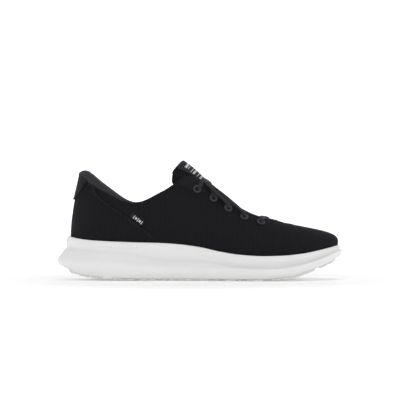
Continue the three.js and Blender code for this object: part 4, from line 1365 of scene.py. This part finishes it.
def make_tongue(context):
    """Padded spacer-mesh tongue: a superellipse section on the arch, full in the middle and pinched
    along a sewn border 3 mm from its edge, its end closed in a soft round."""
    rows, around = 150, 56
    s = np.r_[np.linspace(0, 0.985, rows - 6), [0.99, 0.993, 0.996, 0.998, 0.9995, 1.0]]
    half, pad = TONGUE_HALF(s), TONGUE_PAD(s)
    tip = np.sqrt(np.clip(1 - (smooth(s, 0.97, 1.0) * 0.96) ** 2, 0, 1))
    shape = oval(1, 1, around, 2.6)
    k, d = shape[:, 0], shape[:, 1]
    border = 0.16 * np.exp(-(((np.abs(k) - 0.86) / 0.05) ** 2)) * np.sign(d)
    y = half[:, None] * k
    depth = pad[:, None] * (0.5 - 0.5 * (d - border) * tip[:, None])
    loops = tongue_point(s[:, None], y, depth)
    piece = put("tongue_padding", loft(loops, "fan"), finish(context, "tongue"))
    at_border = 1 - smooth(np.abs(np.abs(k) - 0.86), 0.03, 0.12)
    pin = np.maximum(at_border, (np.abs(k) > 0.9) * 1.0)[None]
    hold = np.maximum(pin, 1 - smooth(s, 0.3, 0.6)[:, None])
    puff(piece, np.r_[hold.ravel(), 1, 1], 4.0, context.scene.shoe_sizes.swell)
    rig.padded(piece, fill=0.6)
    seat(piece, "knit", stands_for=["tongue_base", "tongue_top"], tilt=True)


def make_tongue_label(context):
    """Woven strip folded over the tongue's end: up the front, round the fold and down the back,
    0.8 mm thick, its ends cut square and heat sealed."""
    y = np.linspace(-14.6, 14.6, 40)
    front = np.linspace(0.775, 1, 30)
    back = np.linspace(1, 0.92, 12)
    lift = 0.7
    angle = np.linspace(0, np.pi, 9)[1:-1]
    pad = TONGUE_PAD(1.0)
    loops = []
    for thick in (lift, lift + 0.7):
        a = tongue_point(front[:, None], y, -thick)
        tip_front, tip_back = tongue_point(1.0, y, -thick), tongue_point(1.0, y, pad + thick)
        middle, arm = (tip_front + tip_back) / 2, (tip_front - tip_back) / 2
        ahead = np.array([-0.806, 0, 0.592]) * (thick + 0.6)
        fold = middle + np.cos(angle)[:, None, None] * arm + np.sin(angle)[:, None, None] * ahead
        b = tongue_point(back[:, None], y, TONGUE_PAD(back)[:, None] + thick)
        loops.append(np.concatenate([a, fold, b]))
    inner, outer = loops
    sections = np.concatenate([outer, inner[::-1]]).transpose(1, 0, 2)
    run = run_along(outer[:, 20])
    from_top = run[len(front) - 1] - run
    line = np.r_[from_top, from_top[::-1], from_top[:1]]
    uv = stack(line[None], y[:, None])
    piece = put("tongue_label_strip", loft(sections, uv=uv), finish(context, "label"))
    seat(piece, "label_cloth", body="tongue_free_end", stands_for=["tongue_label"])


def make_side_tag(context):
    """Small damask tag sewn flat ahead of the rear seam: a rectangle with rounded corners that
    follows the quarter, its rim 0.3 mm thicker where the weave is folded under."""
    length, width = 15.6, 5.6
    u0, v0 = locate(-64.2, 63.4)
    middle = face(u0, v0)
    normal = outward(u0, v0)
    lie = np.array([-np.cos(0.65), 0, np.sin(0.65)])
    lie = unit(lie - normal * (lie @ normal))
    down = np.cross(normal, lie)
    a, b = np.linspace(-1, 1, 40), np.linspace(-1, 1, 18)
    aa, bb = np.meshgrid(a, b, indexing="ij")
    square = stack(aa, bb)
    swell = (np.abs(aa) ** 9 + np.abs(bb) ** 9) ** (-1 / 9)
    reach = np.maximum(np.abs(aa), np.abs(bb))
    square = square * np.minimum(1, (reach * swell))[..., None]
    flat = middle + square[..., :1] * lie * length / 2 + square[..., 1:] * down * width / 2
    bow = 0.0035 * (square[..., 0] * length / 2) ** 2
    rim = 0.18 * smooth(reach, 0.86, 0.93) * (1 - smooth(reach, 0.96, 1.0))
    top = flat + normal * (1.15 - bow + rim)[..., None]
    low = flat + normal * (0.1 - bow)[..., None]
    loops = np.concatenate([top, low[:, ::-1]], 1)
    run = np.broadcast_to(((a + 1) / 2 * length)[:, None], (len(a), 2 * len(b) + 1))
    over = np.r_[b, b[::-1], b[:1]] * width / 2
    uv = stack(run, np.broadcast_to(over[None], run.shape))
    piece = put("side_tag_weave", loft(loops, uv=uv), finish(context, "tag"))
    seat(piece, "label_cloth", stands_for=["side_tag"])


def eyelet_frame(row, inner):
    """An eyelet's u, its middle on the face, its axis, and the way from it to the tongue."""
    u, v = EYELETS[row]
    u = 1 - u if inner else u
    axis = outward(u, v)
    inward = unit(np.array([0, -1.0 if inner else 1.0, 0]) - axis * (-axis[1] if inner else axis[1]))
    return u, face(u, v), axis, inward


def make_eyelets(context):
    """Each eyelet is a turned profile: a barrel through the cloth and a domed flange, a half oval
    1.7 mm wide on a lip 0.3 mm thick."""
    dome = np.linspace(0, np.pi, 13)
    section = np.concatenate(
        [
            [(BARREL_RADIUS, -3.2), (BARREL_RADIUS, 0.6)],
            stack(3.3 - 0.9 * np.cos(dome), 1.25 + 0.95 * np.sin(dome)),
            [(FLANGE_RADIUS, 0.85), (3.2, 0.85), (2.9, 0.7), (2.9, -3.2)],
        ]
    )
    turn = np.arange(56) / 56 * 2 * np.pi
    for inner in (False, True):
        for row in range(len(EYELETS)):
            _, at, axis, inward = eyelet_frame(row, inner)
            across = np.cross(axis, inward)
            spoke = np.cos(turn)[:, None] * inward + np.sin(turn)[:, None] * across
            loops = at + section[None, :, :1] * spoke[:, None] + section[None, :, 1:] * axis
            name = f"{'inner' if inner else 'outer'}_{row + 1}"
            piece = put(f"eyelet_ring_{name}", loft(loops, wrap=True), finish(context, "eyelet"))
            seat(piece, "eyelet_ring", stands_for=[f"eyelet_{name}"])


def pierce(piece):
    """Cuts the ten lace holes through a piece with a boolean, and keeps the cut mesh."""
    turn = np.arange(24) / 24 * 2 * np.pi
    drills = []
    for inner in (False, True):
        for row in range(len(EYELETS)):
            _, at, axis, inward = eyelet_frame(row, inner)
            across = np.cross(axis, inward)
            spoke = DRILL_RADIUS * (np.cos(turn)[:, None] * inward + np.sin(turn)[:, None] * across)
            drills.append(loft(at + spoke + axis * np.array([-1.15, 2.5])[:, None, None], "fan"))
    drill = put("lace_drill", merge(drills), piece.data.materials[0])
    cut = piece.modifiers.new("Lace holes", "BOOLEAN")
    cut.operation, cut.solver, cut.object = "DIFFERENCE", "EXACT", drill
    solved = piece.evaluated_get(bpy.context.evaluated_depsgraph_get())
    piece.data = bpy.data.meshes.new_from_object(solved)
    piece.modifiers.clear()
    bpy.data.objects.remove(drill)


def lace_stops():
    """Waypoints of the lace: place, fullness and the way its flat face looks. At the top row each
    end comes out of its eyelet, over the edge and down into the next eyelet from outside. Below
    that each strand leaves under the facing, crosses the tongue, laps the other edge and goes in
    from outside. At the bottom row the strands come up from inside and a bar joins them. The face
    turns over in every eyelet, so side, +1 or -1, says which way it looks."""

    def heading(e, target):
        to = target - e[1]
        return unit(to - e[2] * (to @ e[2]))

    def at(e, lift, ahead, full, target, look):
        way = heading(e, target)
        return [*(e[1] + e[2] * lift + way * ahead), full, *(e[2] * look[0] + way * look[1])]

    def into(e, target, side):
        return [
            at(e, 2.7, 3.8, 1.0, target, (side, 0)),
            at(e, 2.2, 1.5, 0.85, target, (side * 0.7, -side * 0.7)),
            at(e, 0.6, 0.4, 0.6, target, (0, -side)),
            at(e, -2.6, 0.3, 0.6, target, (0, -side)),
        ]

    def below(e, target, side):
        return [
            at(e, -3.9, 1.7, 0.65, target, (-side * 0.7, -side * 0.7)),
            at(e, -4.1, 5.0, 0.9, target, (-side, 0)),
        ]

    def over_edge(e, lift, side, share=0.2, full=1.0):
        u = e[0] + (0.5 - e[0]) * share
        return [*skin(u, 0.985, lift), full, *(outward(u, 0.96) * side)]

    def middle(x, lift):
        k = np.abs(TONGUE_FRONT[:, 0] - x).argmin()
        return np.array([x, 0.0, TONGUE_FRONT[k, 1] + lift])

    def half(first, lift):
        e = [eyelet_frame(row, (row + first) % 2 == 1) for row in range(5)]
        crossings = ((9.5, 1.7), (19.5, 1.7), (35.5, 1.5), (53, 1.0))  # x, height over the tongue
        cross = [middle(x, up + lift) for x, up in crossings]
        flat = np.array([0.6, 0, 0.8])
        path = [at(e[0], -3.8, -5.0, 0.8, cross[0], (1, 0)), *into(e[0], cross[0], 1)[::-1]]
        path += [over_edge(e[0], 2.2, 1, 0.07), [*cross[0], 1, *flat]]
        path += [over_edge(e[1], 2.6, 1, 0.03), *into(e[1], cross[0], 1)]
        side = 1
        for k in (1, 2):
            path += below(e[k], cross[k], side)
            side = -side
            path += [over_edge(e[k], -2.6, side, 0.3, 0.9), [*cross[k], 1, *(flat * side)]]
            path += [over_edge(e[k + 1], 2.4, side, -0.13), *into(e[k + 1], cross[k], side)]
        path += below(e[3], cross[3], side)
        side = -side
        path += [over_edge(e[3], -2.6, side, 0.4, 0.9), [*cross[3], 1, *(flat * side)]]
        path += [over_edge(e[4], -2.6, side, 0.1, 0.9), at(e[4], -4.1, 4.0, 0.8, cross[3], (side, 0))]
        path += [at(e[4], -3.6, 1.6, 0.7, cross[3], (side * 0.7, side * 0.7))]
        front = np.array([70.5, 0, 65.4])
        return path + into(e[4], front, -side)[::-1] + [over_edge(e[4], 1.4, -side, 0.5)], side

    (left, side), (right, _) = half(0, 1.4), half(1, 0.0)
    bar = [70.5, 0.0, 65.3, 1.0, -0.35 * side, 0, -0.94 * side]
    return np.array([*left, bar, *right[::-1]])


def make_lace(context):
    """Flat lace along its stops: a superellipse section with three ribs, gathered to about half its
    width in each eyelet, the same area kept by its thickness."""
    sizes = context.scene.shoe_sizes
    stops = lace_stops()
    line = spline(stops[:, :3], 1000, extra=stops[:, 3:])
    path, full, look = line[:, :3], np.clip(line[:, 3], 0.5, 1), line[:, 4:]
    for _ in range(3):
        path[1:-1] = (path[:-2] + 2 * path[1:-1] + path[2:]) / 4
    shape = oval(1, 1, 30, 3.2)
    rib = 1 + 0.16 * np.cos(shape[:, 0] * 3 * np.pi)
    wide = sizes.lace_width / MM / 2 * full
    thick = sizes.lace_thickness / MM / 2 / full**0.8
    section = stack(shape[:, 0] * wide[:, None], shape[:, 1] * rib * thick[:, None])
    across = np.cross(look, np.gradient(path, axis=0))
    piece = put("lace_braid", tube(path, section, across), finish(context, "lace"))
    seat(piece, "lace_cloth", stands_for=["lace"])


def make_insole(context):
    """Moulded footbed: a grid of sections across the shoe whose top dishes under the foot as k^4
    towards its edges, rises 3 mm into the heel cup and swells 3 mm under the arch."""
    u = np.linspace(0.006, 0.494, 150)
    outer, inner = (plan(w, feather(station(w)) + FOOTBED_INSET) for w in (u, 1 - u))
    k = np.linspace(-1, 1, 46)
    xy = (outer + inner)[:, None] / 2 + (inner - outer)[:, None] / 2 * k[None, :, None]
    s = xy[..., 0] / HALF
    floor = RIM(s) - RIM_WALL + 2.4
    cup = 3.0 * (1 - smooth(s, -0.8, -0.3)) * np.abs(k) ** 3
    arch = 3.0 * np.exp(-(((s + 0.15) / 0.28) ** 2)) * smooth(k, 0.2, 1.0)
    top = floor + FOOTBED_THICK + 0.6 * np.abs(k) ** 6 + cup + arch - 1.2 * np.abs(k) ** 16
    above, below = (stack(xy[..., 0], xy[..., 1], z) for z in (top, floor))
    loops = np.concatenate([above, below[:, ::-1]], 1)
    piece = put("footbed", loft(loops), finish(context, "insole"))
    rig.padded(piece, fill=0.9)
    seat(piece, "insole_cloth", stands_for=["insole"])


def make_stitching(context):
    """Rows of thread: two behind the rear seam on each side of the shoe, and one round the throat
    facing's lower edge."""
    pitch = context.scene.shoe_sizes.stitch_pitch / MM
    v = np.linspace(0.17, 0.985, 90)
    for inner in (False, True):
        name = "inner" if inner else "outer"
        rows = []
        for inset in SEAM_ROWS:
            u = seam_u(v, inner)
            p = face(u, v)
            du = np.linalg.norm(face(u + 0.002, v) - p, axis=1) / 0.002
            u = u + (inset / du) * (1 if inner else -1)
            lift = 0.25 + 0.85 * np.exp(-((inset / 3.0) ** 2)) + 0.02
            rows.append(stitches(skin(u, v, lift), outward(u, v), pitch, 1.7, THREAD_RADIUS))
        piece = put(f"seam_stitches_{name}", merge(rows), finish(context, "thread"))
        seat(piece, "smooth_cloth", fold=True)
    start_u = EYELETS[0][0] - 0.012
    u = np.linspace(start_u, 1 - start_u, 300)
    low = stay_low(u)
    v = low + (0.99 - low) * 0.13
    row = stitches(skin(u, v, 0.64), outward(u, v), pitch, 1.6, 0.2)
    piece = put("facing_stitches", row, finish(context, "thread"))
    seat(piece, "smooth_cloth")


def make_inside(context):
    """Finishes of the boards and stiffeners that the CAD frame carries inside the shoe."""
    kinds = {"strobel_board": "board", "heel_counter": "stiffener", "toe_puff": "stiffener"}
    for node, key in {**kinds, "flex_arc": "stiffener"}.items():
        materials = frame["nodes"][node].data.materials
        materials.clear()
        materials.append(finish(context, key))


def make_stage(context):
    """A pale round studio floor that sweeps up into its own backdrop, a wide soft light overhead,
    two weak ones beside the camera and behind the shoe, and a long lens level with the shoe."""
    bend = np.linspace(0.05, np.pi / 2, 18)
    radius = np.r_[np.linspace(0.25, 5.5, 24), 5.5 + 1.5 * np.sin(bend), 7.0]
    height = np.r_[np.zeros(24), 1.5 - 1.5 * np.cos(bend), 4.0]
    turn = np.arange(96) / 96 * 2 * np.pi
    reach = radius[:, None]
    rings = stack(reach * np.cos(turn), reach * np.sin(turn), height[:, None])
    quads = grid_quads(len(radius), 96, False, True)[0][:, ::-1]
    mesh = bpy.data.meshes.new("studio_floor")
    mesh.from_pydata(rings.reshape(-1, 3).tolist(), [], [*quads.tolist(), list(range(96))])
    mesh.polygons.foreach_set("use_smooth", np.ones(len(mesh.polygons), bool))
    paint = bpy.data.materials.new("Studio paint, matt white")
    paint.use_nodes = True
    tree = paint.node_tree
    shader = tree.nodes["Principled BSDF"]
    place = add(tree, "ShaderNodeTexCoord").outputs["Object"]
    tint = blend_colour(tree, mottle(tree, place, 3), linear("#F6F6F6"), linear("#F9F9F9"))
    close(tree, shader, tint, 0.9, mottle(tree, place, 40), 0.02, Specular_IOR_Level=0.1)
    shader.inputs["Emission Color"].default_value = (1, 1, 1, 1)
    # The floor and backdrop glow: dimly within 0.14 m of the shoe, where its shadow falls, and brighter from 0.42 m
    # out.
    away = add(tree, "ShaderNodeVectorMath", {0: place}, operation="LENGTH").outputs["Value"]
    tree.links.new(ramp(tree, away, 0.14, 0.42, 0.2, 0.62), shader.inputs["Emission Strength"])
    mesh.materials.append(paint)
    floor = bpy.data.objects.new("studio_floor", mesh)
    context.scene.collection.objects.link(floor)
    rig.stage(floor)

    world = bpy.data.worlds.new("studio_air")
    world.use_nodes = True
    world.node_tree.nodes["Background"].inputs["Color"].default_value = (1, 1, 1, 1)
    world.node_tree.nodes["Background"].inputs["Strength"].default_value = 0.16
    context.scene.world = world
    for name, power, size, spot, aim in (
        ("overhead_softbox", 16, 1.6, (0.1, -0.1, 2.0), (0, 0, 0)),
        ("front_fill", 2.2, 1.2, (-0.4, -2.2, 0.9), (0, 0, 0.06)),
        ("rear_fill", 2.5, 1.2, (0.5, 2.2, 1.0), (0, 0, 0.06)),
    ):
        light = bpy.data.lights.new(name, "AREA")
        light.energy, light.size = power, size
        lamp = bpy.data.objects.new(name, light)
        context.scene.collection.objects.link(lamp)
        lamp.location = spot
        lamp.rotation_euler = (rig.Vector(aim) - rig.Vector(spot)).to_track_quat("-Z", "Y").to_euler()

    lens = bpy.data.cameras.new("long_lens")
    lens.lens, lens.sensor_width = 200, 36
    camera = bpy.data.objects.new("long_lens", lens)
    context.scene.collection.objects.link(camera)
    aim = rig.Vector((0.0004, -0.02, 0.0832))
    distance, climb = 2.3, np.radians(0.4)
    camera.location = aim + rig.Vector((0, -distance * np.cos(climb), distance * np.sin(climb)))
    camera.rotation_euler = (aim - camera.location).to_track_quat("-Z", "Y").to_euler()
    context.scene.camera = camera
    context.scene.view_settings.view_transform = "Standard"


# ------------------------------------------------------------------ operators and panel
STEPS = [
    ("midsole", "Midsole", "Moulds the foam midsole", make_midsole),
    ("outsole", "Ground pads", "Makes the six rubber pads with their sipes", make_outsole),
    ("lining", "Lining", "Makes the padded lining sleeve", make_lining),
    ("upper", "Knit upper", "Makes the vamp and quarters", make_upper),
    ("heel_panel", "Heel panel", "Makes the lapped panel behind the seam", make_heel_panel),
    ("topline", "Topline", "Rolls the free edge of the quarters", make_topline),
    ("facing", "Throat facing", "Makes the strip under the eyelets", make_facing),
    ("collar", "Collar", "Pads the folding collar", make_collar),
    ("pull_tab", "Pull tab", "Makes the tape behind the heel", make_pull_tab),
    ("tongue", "Tongue", "Pads the tongue", make_tongue),
    ("tongue_label", "Tongue label", "Folds the striped label over the tongue", make_tongue_label),
    ("side_tag", "Side tag", "Sews the small tag on the quarter", make_side_tag),
    ("eyelets", "Eyelets", "Turns the ten eyelet rings", make_eyelets),
    ("lace", "Lace", "Threads the flat lace", make_lace),
    ("insole", "Footbed", "Moulds the footbed", make_insole),
    ("stitching", "Stitching", "Sews the rows of thread", make_stitching),
    ("inside", "Inner boards", "Gives the inner boards their finishes", make_inside),
    ("stage", "Stage", "Sets the floor, the lights and the camera", make_stage),
]


def operator_class(key, label, words, maker):
    """An operator that runs one maker, which raises if it can't finish."""

    def execute(self, context):
        maker(context)
        return {"FINISHED"}

    body = {"bl_idname": "shoe." + key, "bl_label": label, "__doc__": words, "execute": execute}
    return type("SHOE_OT_" + key, (bpy.types.Operator,), body)


OPERATORS = [operator_class(*step) for step in STEPS]


class SHOE_PT_sidebar(bpy.types.Panel):
    """Lists the shoe's settings and the operators that build it."""

    bl_idname = "SHOE_PT_sidebar"
    bl_label = "Sports shoe"
    bl_space_type = "VIEW_3D"
    bl_region_type = "UI"
    bl_category = "Shoe"

    def draw(self, context):
        for group in (context.scene.shoe_sizes, context.scene.shoe_colours):
            for key in group.bl_rna.properties.keys():
                if key not in ("rna_type", "name"):
                    self.layout.prop(group, key)
        for key, *_ in STEPS:
            self.layout.operator("shoe." + key)


CLASSES = [ShoeColours, ShoeSizes, *OPERATORS, SHOE_PT_sidebar]


def register():
    for one in CLASSES:
        bpy.utils.register_class(one)
    bpy.types.Scene.shoe_colours = bpy.props.PointerProperty(type=ShoeColours)
    bpy.types.Scene.shoe_sizes = bpy.props.PointerProperty(type=ShoeSizes)


def unregister():
    del bpy.types.Scene.shoe_sizes, bpy.types.Scene.shoe_colours
    for one in reversed(CLASSES):
        bpy.utils.unregister_class(one)


def main():
    register()
    for key, *_ in STEPS:
        getattr(bpy.ops.shoe, key)()
    visual_box = [list(corner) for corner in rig.bounds()]
    with open("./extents.json", "w") as out:
        json.dump({"cad": CAD_BOX, "visual": visual_box}, out)


if __name__ == "__main__":
    main()
